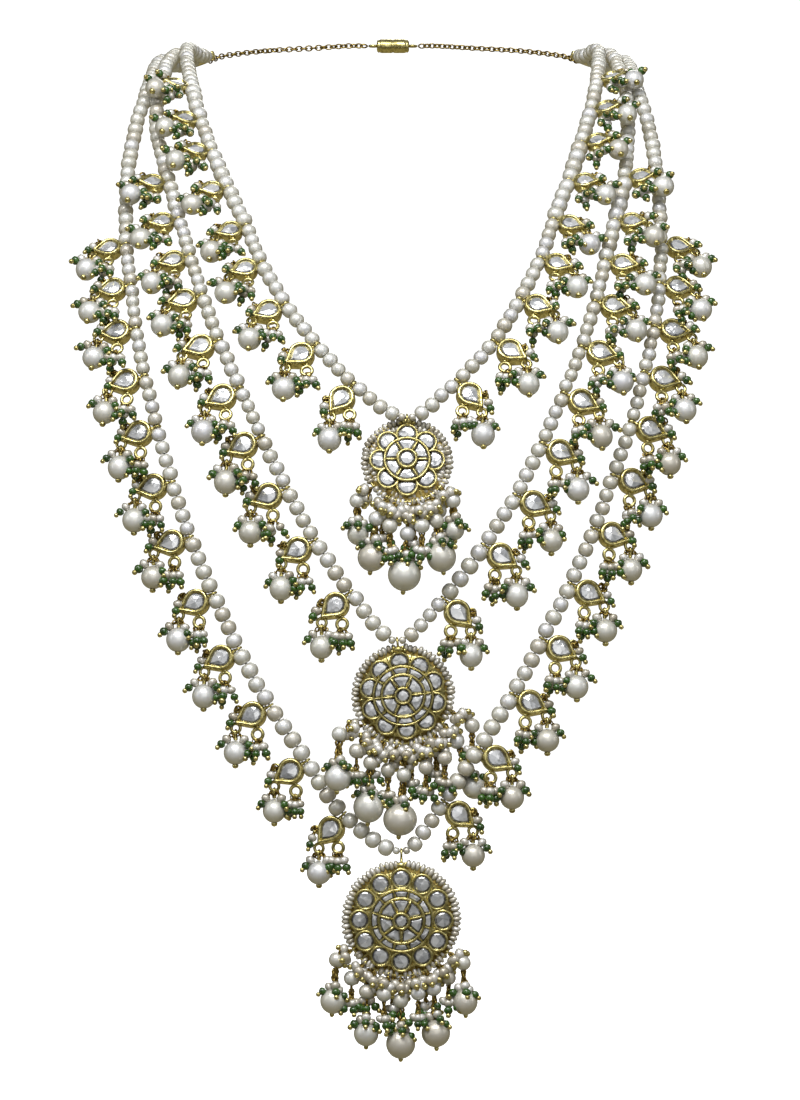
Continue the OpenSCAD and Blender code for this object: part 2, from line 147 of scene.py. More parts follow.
def grain(tree, scale, detail=3.0, roughness=0.55):
    """Cloudy noise; scale is in clouds a metre."""
    settings = {"Scale": scale, "Detail": detail, "Roughness": roughness}
    return add_node(tree, "ShaderNodeTexNoise", settings, Vector=object_place(tree)).outputs["Fac"]


def worn(tree, shader, cloud, low, high):
    """Roughness that runs from low to high as the noise runs from 0.3 to 0.7."""
    settings = {"From Min": 0.3, "From Max": 0.7, "To Min": low, "To Max": high}
    spread = add_node(tree, "ShaderNodeMapRange", settings, Value=cloud)
    tree.links.new(spread.outputs["Result"], shader.inputs["Roughness"])


def bump(tree, shader, height, strength, distance):
    """Turns a height into small dents and bumps of the shader's surface."""
    settings = {"Strength": strength, "Distance": distance}
    raised = add_node(tree, "ShaderNodeBump", settings, Height=height)
    tree.links.new(raised.outputs["Normal"], shader.inputs["Normal"])


# %% Floor and backdrop
def sweep(width, depth, height, bend, steps=16):
    """Floor, quarter round and wall: a profile of (y, z) points carried along x."""
    turn = np.linspace(0, math.pi / 2, steps)
    y = np.concatenate([[-depth], depth - bend + bend * np.sin(turn), [depth]])
    z = np.concatenate([[0], bend - bend * np.cos(turn), [height]])
    rows = len(y)
    points = np.stack([np.tile([-width, width], rows), np.repeat(y, 2), np.repeat(z, 2)], 1)
    start = 2 * np.arange(rows - 1)
    return points, np.stack([start, start + 1, start + 3, start + 2], 1)


FLOOR_Z = -345
PAPER_GLOW = 0.97
# It is wide and deep enough that a view from behind still looks at it
points, quads = sweep(width=9000, depth=7000, height=9000, bend=1500)
backdrop = add_mesh("backdrop", points + [0, 0, FLOOR_Z], quads)
paper, _, _ = finish("paper", {"Base Color": (0.9, 0.9, 0.9, 1), "Roughness": 0.9,
                               "Emission Color": (1, 1, 1, 1), "Emission Strength": PAPER_GLOW})
backdrop.data.materials.append(paper)
# The paper is bright to the camera only, so it adds no glare to the pearls' edges
backdrop.visible_diffuse = False
backdrop.visible_glossy = False


# %% [markdown]
# ## Light
# Pearls and polished gold show the studio itself in their surfaces. A wide soft box above the
# camera gives each pearl one broad highlight, a weaker one in front opens the shadows, two narrow
# ones at the sides draw the edges of the gold, and one behind parts the pearls from the paper.
# The surround is a cool grey above, nearly dark halfway down and warm below, like light that cloth
# throws back up. Pearls darken under their highlight, and the walls of the cups, which face down,
# stay golden.

# %% Lights
AIM = (0, -0.1, -0.15)


def soft_box(name, place, size, power):
    """An area light at place, in metres, turned to shine at AIM."""
    lamp = bpy.data.lights.new(name, "AREA")
    lamp.shape = "RECTANGLE"
    lamp.size, lamp.size_y = size
    lamp.energy = power
    box = bpy.data.objects.new(name, lamp)
    away = np.subtract(AIM, place)
    box.location = place
    level = math.hypot(away[0], away[1])
    box.rotation_euler = (math.atan2(level, -away[2]), 0, math.atan2(away[1], away[0]) - math.pi / 2)
    bpy.context.collection.objects.link(box)


soft_box("key_light", (-0.12, -0.75, 0.72), (0.9, 0.335), 12.4)
soft_box("front_light", (0.2, -1.7, 0.25), (1.4, 1.0), 4)
soft_box("left_light", (-1.2, -0.5, 0.3), (0.25, 0.8), 1.6)
soft_box("right_light", (1.2, -0.4, 0.2), (0.25, 0.8), 1.6)
soft_box("back_light", (0.3, 1.5, 0.9), (1.0, 0.6), 9)

# %% Surround
SKY = [(0.0, (0.40, 0.36, 0.22)), (0.37, (0.27, 0.24, 0.145)), (0.5, (0.08, 0.078, 0.06)),
       (0.75, (0.16, 0.165, 0.17)), (1.0, (0.34, 0.35, 0.37))]
SKY_TOP = (0, -0.5, 0.87)
world = bpy.data.worlds.new("surround")
world.use_nodes = True
tree = world.node_tree
toward = tree.nodes.new("ShaderNodeVectorMath")
toward.operation = "DOT_PRODUCT"
toward.inputs[1].default_value = SKY_TOP
tree.links.new(tree.nodes.new("ShaderNodeTexCoord").outputs["Generated"], toward.inputs[0])
height = add_node(tree, "ShaderNodeMapRange", {"From Min": -1}, Value=toward.outputs["Value"])
tree.links.new(shades(tree, height.outputs["Result"], SKY), tree.nodes["Background"].inputs["Color"])
bpy.context.scene.world = world


# %% [markdown]
# ## Materials
# A pearl is layers of nacre: a pale body, a soft glow under the skin, and a wide sheen that is
# stronger than that of glass, so the skin is part metal. The colour drifts from cream to a cool grey
# from pearl to pearl, so each pearl carries a number, its tint, that picks its body colour. Towards the
# rim of each pearl the colour is painted darker and more olive: painted shade where the light falls
# off, and a painted reflection of the gold and the dark surround.

# %% Pearl
def pearl_finish(name, stops, roughness, painted_edge_shade):
    """Nacre: the tint picks a body colour, and the facing ratio paints edge shade in at the rim."""
    material, tree, skin = finish(name, {
        "Metallic": 0.35, "Subsurface Weight": 0.1, "Subsurface Radius": (0.0012, 0.001, 0.0008),
        "Coat Weight": 0.3, "Coat Roughness": 0.22})
    # Painted edge shade: the colour darkens and turns olive towards the rim, a painted shade and a painted
    # reflection
    mixed = tree.nodes.new("ShaderNodeMix")
    mixed.data_type = "RGBA"
    facing = add_node(tree, "ShaderNodeLayerWeight", {"Blend": 0.4})
    tree.links.new(facing.outputs["Facing"], mixed.inputs["Factor"])
    tree.links.new(shades(tree, tone_and_painted_shade_of(tree), stops), mixed.inputs["A"])
    mixed.inputs["B"].default_value = (*painted_edge_shade, 1)
    tree.links.new(mixed.outputs["Result"], skin.inputs["Base Color"])
    worn(tree, skin, grain(tree, 420, 4), roughness - 0.06, roughness + 0.08)
    bump(tree, skin, grain(tree, 700, 2), 0.25, 0.0002)
    return material


NACRE = [(0.0, (0.66, 0.62, 0.54)), (0.35, (0.78, 0.77, 0.71)), (0.75, (0.85, 0.85, 0.83)),
         (1.0, (0.78, 0.78, 0.81))]
SEED_NACRE = [(0.0, (0.52, 0.47, 0.38)), (0.5, (0.72, 0.69, 0.62)), (1.0, (0.84, 0.82, 0.79))]
# The last colour of each finish is its painted edge shade
pearl = pearl_finish("pearl", NACRE, 0.36, (0.29, 0.27, 0.18))
drop_pearl = pearl_finish("drop_pearl", NACRE, 0.36, (0.31, 0.30, 0.23))
seed_pearl = pearl_finish("seed_pearl", SEED_NACRE, 0.34, (0.18, 0.17, 0.10))


# %% [markdown]
# The gold is soft high-carat gold, polished by hand and a little worn. Its colour is deeper
# where tarnish stays in small hollows, and its gloss breaks up in fine dents. The fine wire is a
# darker gold than the cups and flowers.

# %% Gold
def gold_finish(name, deep, bright, roughness):
    """Metal whose colour and roughness drift with fine noise, with small hammer dents."""
    material, tree, skin = finish(name, {"Metallic": 1})
    cloud = grain(tree, 900, 4, 0.65)
    coloured(tree, skin, cloud, [(0.3, deep), (0.62, bright)])
    worn(tree, skin, cloud, roughness + 0.1, roughness - 0.06)
    bump(tree, skin, grain(tree, 1100, 3), 0.22, 0.0002)
    return material


gold = gold_finish("gold", (0.20, 0.155, 0.035), (0.76, 0.67, 0.29), 0.28)
wire_gold = gold_finish("wire_gold", (0.09, 0.05, 0.008), (0.38, 0.28, 0.08), 0.3)


# %% [markdown]
# Polki stones are uncut diamonds, clear and nearly flat, set over silver foil. The eye sees the
# foil through the stone: bright where a facet turns to the light, dark grey where it turns away. That
# light and shade is painted into the foil's colour, one shade for each facet.

# %% Foil-backed stones
def polki_finish(name):
    """Silver foil under a clear gloss: each facet's painted shade picks its colour, and the foil's own
    creases shift it a little."""
    material, tree, skin = finish(name, {
        "Metallic": 0.5, "Roughness": 0.18, "Coat Weight": 1, "Coat Roughness": 0.03})
    crease = add_node(tree, "ShaderNodeTexVoronoi", {"Scale": 650}, Vector=object_place(tree))
    split = add_node(tree, "ShaderNodeSeparateColor", Color=crease.outputs["Color"])
    # The foil's colour is each facet's painted shade, mixed a little with the creases
    blend = add_node(tree, "ShaderNodeMix", {"Factor": 0.22}, A=tone_and_painted_shade_of(tree), B=split.outputs["Red"])
    coloured(tree, skin, blend.outputs["Result"], [
        (0.0, (0.02, 0.02, 0.02)), (0.3, (0.16, 0.16, 0.17)), (0.6, (0.50, 0.51, 0.52)),
        (1.0, (0.93, 0.93, 0.93))])
    bump(tree, skin, crease.outputs["Distance"], 0.35, 0.0003)
    return material


polki = polki_finish("polki")


# %% Green glass beads and thread
def grained_finish(name, settings, scale, low, high):
    """A finish whose colour drifts from low to high with fine noise."""
    material, tree, skin = finish(name, settings)
    coloured(tree, skin, grain(tree, scale), [(0.3, low), (0.7, high)])
    return material


# Deep green glass, and white silk whose shade is broken up by its fibres
green_bead = grained_finish("green_bead", {"Roughness": 0.12, "Coat Weight": 0.6}, 500,
                            (0.006, 0.028, 0.002), (0.045, 0.13, 0.012))
silk = grained_finish("silk", {"Roughness": 0.7, "Sheen Weight": 0.3}, 2500,
                      (0.42, 0.40, 0.34), (0.70, 0.68, 0.60))
print("materials:", len(bpy.data.materials))

# %% [markdown]
# ## Where the strands run
# A strand is known by a few points: the thread in its pendant's bail, each gold link, and the
# places above them up to the end bar behind the shoulder. Between two points it follows a
# Catmull-Rom curve, as in the CAD. All lengths from here on are in millimetres.

# %% The strands' points
CREST_HALF, SHOULDER_STEP, CHEST_DEPTH, CHEST_HEIGHT, CHEST_ROUND = 67, 20, 100, 135, 250
STEP_LENGTH, BUST_BELOW, BUST_CURL = 6, 190, 0.0015
# Links from the pendant up: x, z, lift off the chest, roll of the setting about its strand
LINKS = {
    "inner_left": [
        (-11.5, -114, 0, 6), (-22.5, -102, 0, 6), (-32, -89.5, 0, 6), (-39.5, -76.5, 0, 6),
        (-44.5, -64.5, 0, 6), (-50.5, -52, 0, 14), (-56, -39.5, 0, 22), (-60, -28.5, 0, 24),
        (-63.5, -17, 0, 26)],
    "inner_right": [
        (19.5, -113, 0, 6), (30.5, -101, 0, 6), (38.5, -88, 0, 6), (45, -75, 0, 6),
        (49.5, -62.5, 0, 6), (54.5, -49.5, 0, 16), (59, -36.5, 0, 24), (62.5, -25, 0, 27),
        (65, -14.5, 0, 26)],
    "middle_left": [
        (-12.5, -176, 0, 6), (-23, -160.5, 0, 6), (-31.5, -145, 0, 6), (-39, -129.5, 0, 6),
        (-45.5, -115, 0, 6), (-52, -100.5, 0, 6), (-57.5, -86.5, 0, 6), (-61.5, -74, 0, 8),
        (-65.5, -62, 0, 14), (-69, -50, 0, 20)],
    "middle_right": [
        (15.5, -178, 0, 6), (27.5, -162, 0, 6), (37, -147, 0, 6), (45, -131.5, 0, 6),
        (51.5, -116.5, 0, 6), (57, -102.5, 0, 6), (61.5, -88.5, 0, 8), (65, -75.5, 0, 14),
        (68.5, -62.5, 0, 20), (72, -48.5, 0, 24)],
    "outer_left": [
        (-14.5, -242.5, 0, 6), (-25.5, -226.5, 0, 6), (-36.5, -210, 0, 6), (-46, -193, 0, 6),
        (-53.5, -176.5, 0, 6), (-60.5, -159.5, 0, 6), (-66, -143, 0, 6), (-70.5, -126.5, 0, 6),
        (-74.5, -111, 0, 6), (-77.5, -96.5, 0, 6), (-79.5, -83, 0, 6), (-81.5, -70, 0, 6)],
    "outer_right": [
        (15.5, -238.5, 2, 6), (26, -222.5, 3, 6), (36, -206.5, 0, 6), (45, -190, 0, 6),
        (53.5, -173.5, 0, 6), (60.5, -157, 0, 6), (66.5, -141, 0, 6), (72, -125, 0, 6),
        (76, -110, 0, 6), (79.5, -96, 0, 6), (81.5, -82.5, 0, 6), (82.5, -69.5, 0, 6)]}
ABOVE_LINKS = {"inner": [], "middle": [(74, -31), (74, -17)], "outer": [(82.5, -49), (81, -32), (78, -18)]}
CREST = {"inner": (67, 0, -1), "middle": (71.6, 1.5, -2.5), "outer": (76.2, 3, -4.5)}
THREAD = {"inner": (4.5, -128, -124), "middle": (1.6, -129, -190.5), "outer": (2.8, -128, -253.5)}
BAR_AT = (66, 31, -1)
BAR_LEAN = (-0.18, 0.98, 0.08)
BAR_ROW = (1, 0.15, -0.35)
BAR_RUN = 9
STRAND_PITCH = 4.6


# %% The surface that the strands lie on
def unit(v):
    """v at length 1, along its last axis."""
    v = np.asarray(v, float)
    return v / np.linalg.norm(v, axis=-1, keepdims=True)


def flat_to(v, normal):
    """The part of v square to normal, at length 1, along the last axis."""
    v, normal = np.asarray(v, float), np.asarray(normal, float)
    return unit(v - np.sum(v * normal, -1, keepdims=True) * normal)


def chest_y(x, z):
    """Depth of the chest at x, z: a step below the shoulder, a quarter sine down to the bust, a
    parabola across, and a parabola back in below the bust."""
    below = max(-z, 0)
    return (-SHOULDER_STEP * (1 - math.exp(-below / STEP_LENGTH))
            - CHEST_DEPTH * math.sin(math.pi / 2 * min(below / CHEST_HEIGHT, 1))
            + (x * x - CREST_HALF ** 2) / (2 * CHEST_ROUND) + BUST_CURL * max(below - BUST_BELOW, 0) ** 2)


def chest_normal(x, z):
    """Outward normal of the chest, from its slopes over a millimetre."""
    return unit([chest_y(x + 0.5, z) - chest_y(x - 0.5, z), -1, chest_y(x, z + 0.5) - chest_y(x, z - 0.5)])


# %% Routes and curves
def side_of(half):
    """-1 on the left of the picture, 1 on the right."""
    return -1 if half.endswith("left") else 1


def bar_frame(side):
    """An end bar's middle, the axis along the strands and the row across them."""
    mirror = np.array([side, 1, 1])
    axis = unit(mirror * BAR_LEAN)
    return mirror * BAR_AT, axis, flat_to(mirror * BAR_ROW, axis)


def route(half):
    """A half strand's points from its pendant's bail to its end bar."""
    level, side = half.split("_")[0], side_of(half)
    middle, axis, row = bar_frame(side)
    end = middle + STRAND_PITCH * (("inner", "middle", "outer").index(level) - 1) * row
    points = [THREAD[level]]
    points += [(x, chest_y(x, z) - lift, z) for x, z, lift, _ in LINKS[half]]
    points += [(side * x, chest_y(x, z), z) for x, z in ABOVE_LINKS[level]]
    points += [(side * CREST[level][0], *CREST[level][1:]), end - BAR_RUN * axis, end]
    return np.array(points, float)


def curve(points, steps=40):
    """Catmull-Rom curve through the points: each span is a cubic whose ends run along the line
    between the neighbouring points. Returns its places and the index of each given point."""
    first = [2 * points[0, 0] - points[1, 0], points[1, 1], points[1, 2]]
    knots = np.vstack([first, points, 2 * points[-1] - points[-2]])
    u = (np.arange(steps) / steps)[None, :, None]
    a, b, c, d = (knots[i:len(knots) - 3 + i, None, :] for i in range(4))
    spans = 0.5 * (2 * b + (c - a) * u + (2 * a - 5 * b + 4 * c - d) * u ** 2
                   + (3 * b - a - 3 * c + d) * u ** 3)
    return np.vstack([spans.reshape(-1, 3), points[-1:]]), np.arange(len(points)) * steps


def lengths(places):
    """Length along the curve at each of its places."""
    return np.concatenate([[0], np.cumsum(np.linalg.norm(np.diff(places, axis=0), axis=1))])


def at_length(places, along, wanted):
    """Places and headings of a curve at the wanted lengths."""
    def spot(s):
        return np.stack([np.interp(s, along, places[:, i]) for i in range(3)], 1)
    wanted = np.asarray(wanted, float)
    return spot(wanted), unit(spot(wanted + 0.3) - spot(wanted - 0.3))


# %% [markdown]
# ## Shapes that repeat
# Pearls, beads, rings and balls come by the hundred. Each is worked out once as a surface of few
# faces, and copies are then laid out by multiplying its points with a whole array of frames.

# %% Turned shapes and rings
NO_QUADS, NO_TRIANGLES = np.zeros((0, 4), int), np.zeros((0, 3), int)


def turns(count, start=0.0):
    """Angles in equal steps once round a circle, the first one start steps on."""
    return 2 * math.pi * (np.arange(count) + start) / count


def polar(angle, reach=1.0):
    """Flat points at these angles, reach away from the middle."""
    return np.stack([reach * np.cos(angle), reach * np.sin(angle)], 1)


def grid_faces(rows, sides, closed=False):
    """Quads between rows of points that each close on themselves. If closed, the last row joins
    the first."""
    i, j = np.meshgrid(np.arange(rows if closed else rows - 1), np.arange(sides), indexing="ij")
    k, after = (j + 1) % sides, (i + 1) % rows
    corners = [i * sides + j, i * sides + k, after * sides + k, after * sides + j]
    return np.stack(corners, 2).reshape(-1, 4)


def body_faces(rows, sides):
    """Quads between rows of points, and triangles from the first and last row to a point each,
    which stand before and after all rows."""
    j = np.arange(sides)
    k = (j + 1) % sides
    top, end = 1 + sides * (rows - 1), 1 + sides * rows
    caps = np.vstack([np.stack([0 * j, 1 + k, 1 + j], 1), np.stack([0 * j + end, top + j, top + k], 1)])
    return 1 + grid_faces(rows, sides), caps


def turned(profile, sides):
    """A profile of (radius, height) turned about Z; it starts and ends on the axis, so it is closed."""
    profile = np.asarray(profile, float)
    turn, rings = turns(sides), profile[1:-1]
    body = np.stack([rings[:, :1] * np.cos(turn), rings[:, :1] * np.sin(turn),
                     np.repeat(rings[:, 1:], sides, 1)], 2)
    points = np.vstack([[0, 0, profile[0, 1]], body.reshape(-1, 3), [0, 0, profile[-1, 1]]])
    return points, *body_faces(len(rings), sides)


def ball(sides, rings):
    """A ball of radius 1: a half circle turned about Z."""
    angle = np.linspace(-math.pi / 2, math.pi / 2, rings + 1)
    radius = np.cos(angle)
    radius[[0, -1]] = 0
    return turned(np.stack([radius, np.sin(angle)], 1), sides)


def ring(big, wire, around, across):
    """A torus about Z: a circle of radius wire carried round a circle of radius big."""
    u, v = turns(around)[:, None], turns(across)[None, :]
    reach = big + wire * np.cos(v)
    points = np.stack([reach * np.cos(u), reach * np.sin(u), wire * np.sin(v) + 0 * u], 2)
    return points.reshape(-1, 3), grid_faces(around, across, True)[:, [0, 3, 2, 1]], NO_TRIANGLES


def frames_along(heading, hint=(0.95, 0.2, 0.25)):
    """Axes (N, 3, 3) whose third row is the heading; the first is as near to the hint as it can be."""
    heading = unit(np.atleast_2d(heading))
    first = flat_to(hint, heading)
    return np.stack([first, np.cross(heading, first), heading], 1)


# Tint of the pieces whose finish doesn't look at it
EVEN_TINT = 0.5


def copies(shape, places, axes, sizes, tones_and_painted_shades=None):
    """Copies of a shape: its points times sizes, along each frame's axes, moved to each place. Each
    takes a tint by chance if none is given."""
    points, quads, caps = shape
    places = np.atleast_2d(places)
    count = len(places)
    sizes = np.broadcast_to(sizes, (count, 3))
    local = points[None] * sizes[:, None, :]
    out = np.einsum("nvk,nkc->nvc", local, axes) + places[:, None, :]
    shift = (np.arange(count) * len(points))[:, None, None]
    tones_and_painted_shades = chance.random(count) if tones_and_painted_shades is None else np.broadcast_to(tones_and_painted_shades, count)
    return [out.reshape(-1, 3), (quads[None] + shift).reshape(-1, 4), (caps[None] + shift).reshape(-1, 3),
            np.repeat(tones_and_painted_shades, len(points))]


def joined(parts):
    """Several sets of copies as one."""
    points, quads, caps, tones_and_painted_shades = zip(*parts)
    shifts = np.cumsum([0] + [len(p) for p in points[:-1]])
    quads, caps = [np.vstack([f + s for f, s in zip(faces, shifts)]) for faces in (quads, caps)]
    return np.vstack(points), quads, caps, np.concatenate(tones_and_painted_shades)


# %% Wires
def swept(path, first, second, section, closed=False):
    """A section of (a, b) points carried along a path: place = path + a first + b second. An open
    sweep is closed at both ends by a fan."""
    path, section = np.asarray(path, float), np.asarray(section, float)
    n, m = len(path), len(section)
    points = path[:, None] + section[None, :, :1] * first[:, None] + section[None, :, 1:] * second[:, None]
    points, quads = points.reshape(-1, 3), grid_faces(n, m, closed)
    if closed:
        return points, quads, NO_TRIANGLES
    ends = [path[i] + section.mean(0) @ np.stack([first[i], second[i]]) for i in (0, -1)]
    j = np.arange(m)
    k, last = (j + 1) % m, (n - 1) * m
    caps = np.vstack([np.stack([0 * j + n * m, k, j], 1),
                      np.stack([0 * j + n * m + 1, last + j, last + k], 1)])
    return np.vstack([points, ends]), quads, caps


def tube(path, radius, sides):
    """A round wire along a path."""
    path = np.asarray(path, float)
    axes = frames_along(np.gradient(path, axis=0), (0.13, 0.9, 0.4))
    return swept(path, axes[:, 0], axes[:, 1], polar(turns(sides), radius))


def whole(shape):
    """A single shape as a set of one copy."""
    return [*shape, np.full(len(shape[0]), EVEN_TINT)]


PIN = tube([[0, 0, 0], [0, 0, 0.5], [0, 0, 1]], 1, 6)


def pins(starts, ends, radius):
    """Straight wires from starts to ends: copies of one pin of length 1, stretched."""
    way = ends - starts
    size = np.linalg.norm(way, axis=1)
    return copies(PIN, starts, frames_along(way / size[:, None], (0.3, 0.9, 0.2)),
                  np.stack([np.full(len(size), radius), np.full(len(size), radius), size], 1), EVEN_TINT)


# Triangles in each piece
made = {}


def add_piece(name, parts, material, body, replaces=(), smooth=True):
    """One scene piece from sets of copies, riding on a body and standing for CAD nodes."""
    points, quads, caps, tones_and_painted_shades = joined(parts)
    piece = add_mesh(name, points, quads, caps, smooth, tones_and_painted_shades)
    piece.data.materials.append(material)
    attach(piece, body)
    if replaces:
        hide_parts(*replaces)
    made[name] = 2 * len(quads) + len(caps)


# %% [markdown]
# ## Pearls on their threads
# Between two gold links hang four pearls that fill the gap, so their size follows from the
# curve's length. Above the last link the pearls run on plain to the end bar. Next to each bail
# sits one small bead. Real pearls aren't quite alike: each gets a slightly other size and tint.

# %% Strand pearls
NECKLACE = "necklace"
LINK_ROOM = 0.9
BAIL_ROOM = 0.5
SMALL_BEAD = 2.1
PLAIN_PEARL = 4.3
PEARLS_A_SPAN = 4


def pearl_row(start, stop, count):
    """Middles and diameter of equal pearls that fill the length from start to stop."""
    size = (stop - start) / count
    return start + size * (np.arange(count) + 0.5), np.full(count, size)


# Half a pearl's outline: the radius is the cosine to a power, which is fuller than a ball
FULLNESS, FULL_POWER, PEARL_LENGTH = 1.13, 0.65, 0.98
rise = np.linspace(-math.pi / 2, math.pi / 2, 9)
belly = FULLNESS * np.cos(rise) ** FULL_POWER
belly[[0, -1]] = 0
pearl_shape = turned(np.stack([belly, PEARL_LENGTH * np.sin(rise)], 1), 14)
THREAD_R = 0.33
SPOT_SPREAD, SIZE_SPREAD = 0.1, 0.04
for half, links in LINKS.items():
    places, marks = curve(route(half))
    along = lengths(places)
    stops = along[marks]
    rows = [(np.array([BAIL_ROOM + SMALL_BEAD / 2]), np.array([SMALL_BEAD])),
            pearl_row(BAIL_ROOM + SMALL_BEAD, stops[1] - LINK_ROOM / 2, PEARLS_A_SPAN)]
    for i in range(1, len(links)):
        rows.append(pearl_row(stops[i] + LINK_ROOM / 2, stops[i + 1] - LINK_ROOM / 2, PEARLS_A_SPAN))
    last = stops[len(links)] + LINK_ROOM / 2
    rows.append(pearl_row(last, stops[-1], round((stops[-1] - last) / PLAIN_PEARL)))
    middles = np.concatenate([r[0] for r in rows])
    sizes = np.concatenate([r[1] for r in rows])
    spots, heading = at_length(places, along, middles)
    spots = spots + SPOT_SPREAD * np.cross(heading, chance.standard_normal(heading.shape))
    wobble = 1 + SIZE_SPREAD * chance.standard_normal((len(sizes), 2)).clip(-1.5, 1.2)
    radii = 0.5 * np.stack([sizes * wobble[:, 0], sizes * wobble[:, 1], sizes], 1)
    spin = frames_along(heading, chance.standard_normal(heading.shape))
    add_piece("pearls_" + half, [copies(pearl_shape, spots, spin, radii)], pearl, NECKLACE,
              ["strand_" + half])
    add_piece("thread_" + half, [whole(tube(places[::5], THREAD_R, 5))], silk, NECKLACE)
    print(half, len(sizes), "pearls of", round(sizes[1:].min(), 2), "to", round(sizes[1:].max(), 2), "mm")

# %% [markdown]
# ## Settings
# A polki cup is a strip of soft gold bent to the stone's outline, with its top edge burnished
# over the stone and a plate soldered behind. Seen from the front it is a rounded gold line; its
# deep wall shows from below, and in front too where the cup tips up. The outline is a teardrop: a
# round end, and two straight sides that touch it and meet in a tip that points away from the strand.

# %% Cup sizes
CUP_R, CUP_TIP, CUP_OUT, RIM = 3.3, 5.3, 5.0, 1.0
# Down the chest the settings grow, by the share GROWTH, and tip up, by CUP_TILT degrees
GROWTH, GROW_FROM, GROW_OVER = 0.15, 60, 40
CUP_TILT, TILT_FROM, TILT_OVER = 13, 80, 60
SWAY = 4
LINK_RING = (0.95, 0.4)
CLUSTER_RING = (1.4, 0.5)
# The CAD's drop ring is of thinner wire; the drops here hang at the same height
DROP_RING, CAD_DROP_WIRE = (1.2, 0.45), 0.33
SIDE_RING = (0.85, 0.33)
DROP_LOOP = (0.95, 0.3)
DROP_R = 3.6
THREAD_GAP = 0.12


def teardrop(count=36, radius=CUP_R):
    """Outline by angle: radius / cos(tip angle - angle) on the straight sides, radius elsewhere."""
    tip = math.acos(CUP_R / CUP_TIP)
    angle = turns(count)
    off = np.minimum(angle, 2 * math.pi - angle)
    reach = np.where(off < tip, radius / np.cos(tip - np.minimum(off, tip)), radius)
    return polar(angle, reach)


def stacked(outline, rows):
    """A closed body from an outline: each row is (scale, push outwards, height), and the first and
    last rows shrink to a point."""
    run = unit(np.roll(outline, -1, 0) - np.roll(outline, 1, 0))
    outward = np.stack([run[:, 1], -run[:, 0]], 1)
    rows = np.asarray(rows, float)
    middle = outline.mean(0)
    scale, push, height = rows[1:-1].T[:, :, None, None]
    flat = middle + scale * (outline - middle) + push * outward
    body = np.concatenate([flat, np.broadcast_to(height, flat.shape[:2] + (1,))], 2)
    points = np.vstack([[*middle, rows[0, 2]], body.reshape(-1, 3), [*middle, rows[-1, 2]]])
    return points, *body_faces(len(rows) - 2, len(outline))


CUP_ROWS = [(0, 0, -2.5), (0.5, 0, -2.48), (0.82, 0.1, -2.35), (0.97, 0.12, -2.0), (1, 0.18, -1.4),
            (1, 0.2, 0), (1, 0.16, 0.6), (1, 0.06, 1.0), (1, -0.12, 1.24), (1, -0.36, 1.36),
            (1, -0.66, 1.32), (1, -0.88, 1.12), (1, -0.97, 0.8), (0, 0, 0.5)]
cup_shape = stacked(teardrop(), CUP_ROWS)


def down_chest(spots, start, over):
    """Share of the way down: 0 as far as start below the shoulders, and 1 from start + over on."""
    return np.clip((-spots[:, 2:] - start) / over, 0, 1)


# %% Where the settings are
def setting_frames(half):
    """For each link of a half strand: its place, outward, across, face normal, strand's way down
    and the way that a drop hangs, as arrays. The face leans off the chest by the link's roll."""
    places, marks = curve(route(half))
    rows = []
    for number, (link, (_, _, _, roll)) in enumerate(zip(marks[1:], LINKS[half]), 1):
        spot = places[link]
        run = unit(places[link + 1] - places[link - 1])
        skin = chest_normal(spot[0], spot[2])
        normal = flat_to(skin, run)
        wide = np.cross(run, normal)
        wide = -wide if wide[0] * side_of(half) < 0 else wide
        down = -run if run[2] > 0 else run
        # Each cup sways its own small way, as the sine of steps that don't divide a circle
        lean, sway = math.radians(roll), math.radians(SWAY * math.sin(math.radians(97 * number)))
        out = math.cos(lean) * wide + math.sin(lean) * normal
        face = math.cos(lean) * normal - math.sin(lean) * wide
        out = unit(math.cos(sway) * out + math.sin(sway) * down)
        fall, lift = flat_to([0, 0, -1], skin), math.radians(5 + 0.45 * roll)
        hang = math.cos(lift) * fall + math.sin(lift) * skin
        rows.append([spot, out, np.cross(face, out), face, down, hang, run])
    return np.swapaxes(np.array(rows), 0, 1)


def axes_of(first, second, third):
    """Frames (N, 3, 3) from three arrays of axes."""
    return np.stack([first, second, third], 1)


def on_edge(axes):
    """The frames a quarter turn on, so that a ring stands on its edge."""
    return axes_of(axes[:, 0], axes[:, 2], -axes[:, 1])


# %% [markdown]
# ## Stones
# A polki is cleaved, not cut to a pattern: a broad table that isn't quite flat, and a narrow
# slanting edge. Each stone is an outline lifted in two steps and closed over a point that lies a
# little off its middle. Every facet keeps corners of its own, so it takes one even painted shade:
# dark on the walls, grey on the crown and bright on the table, as if lit from the front.

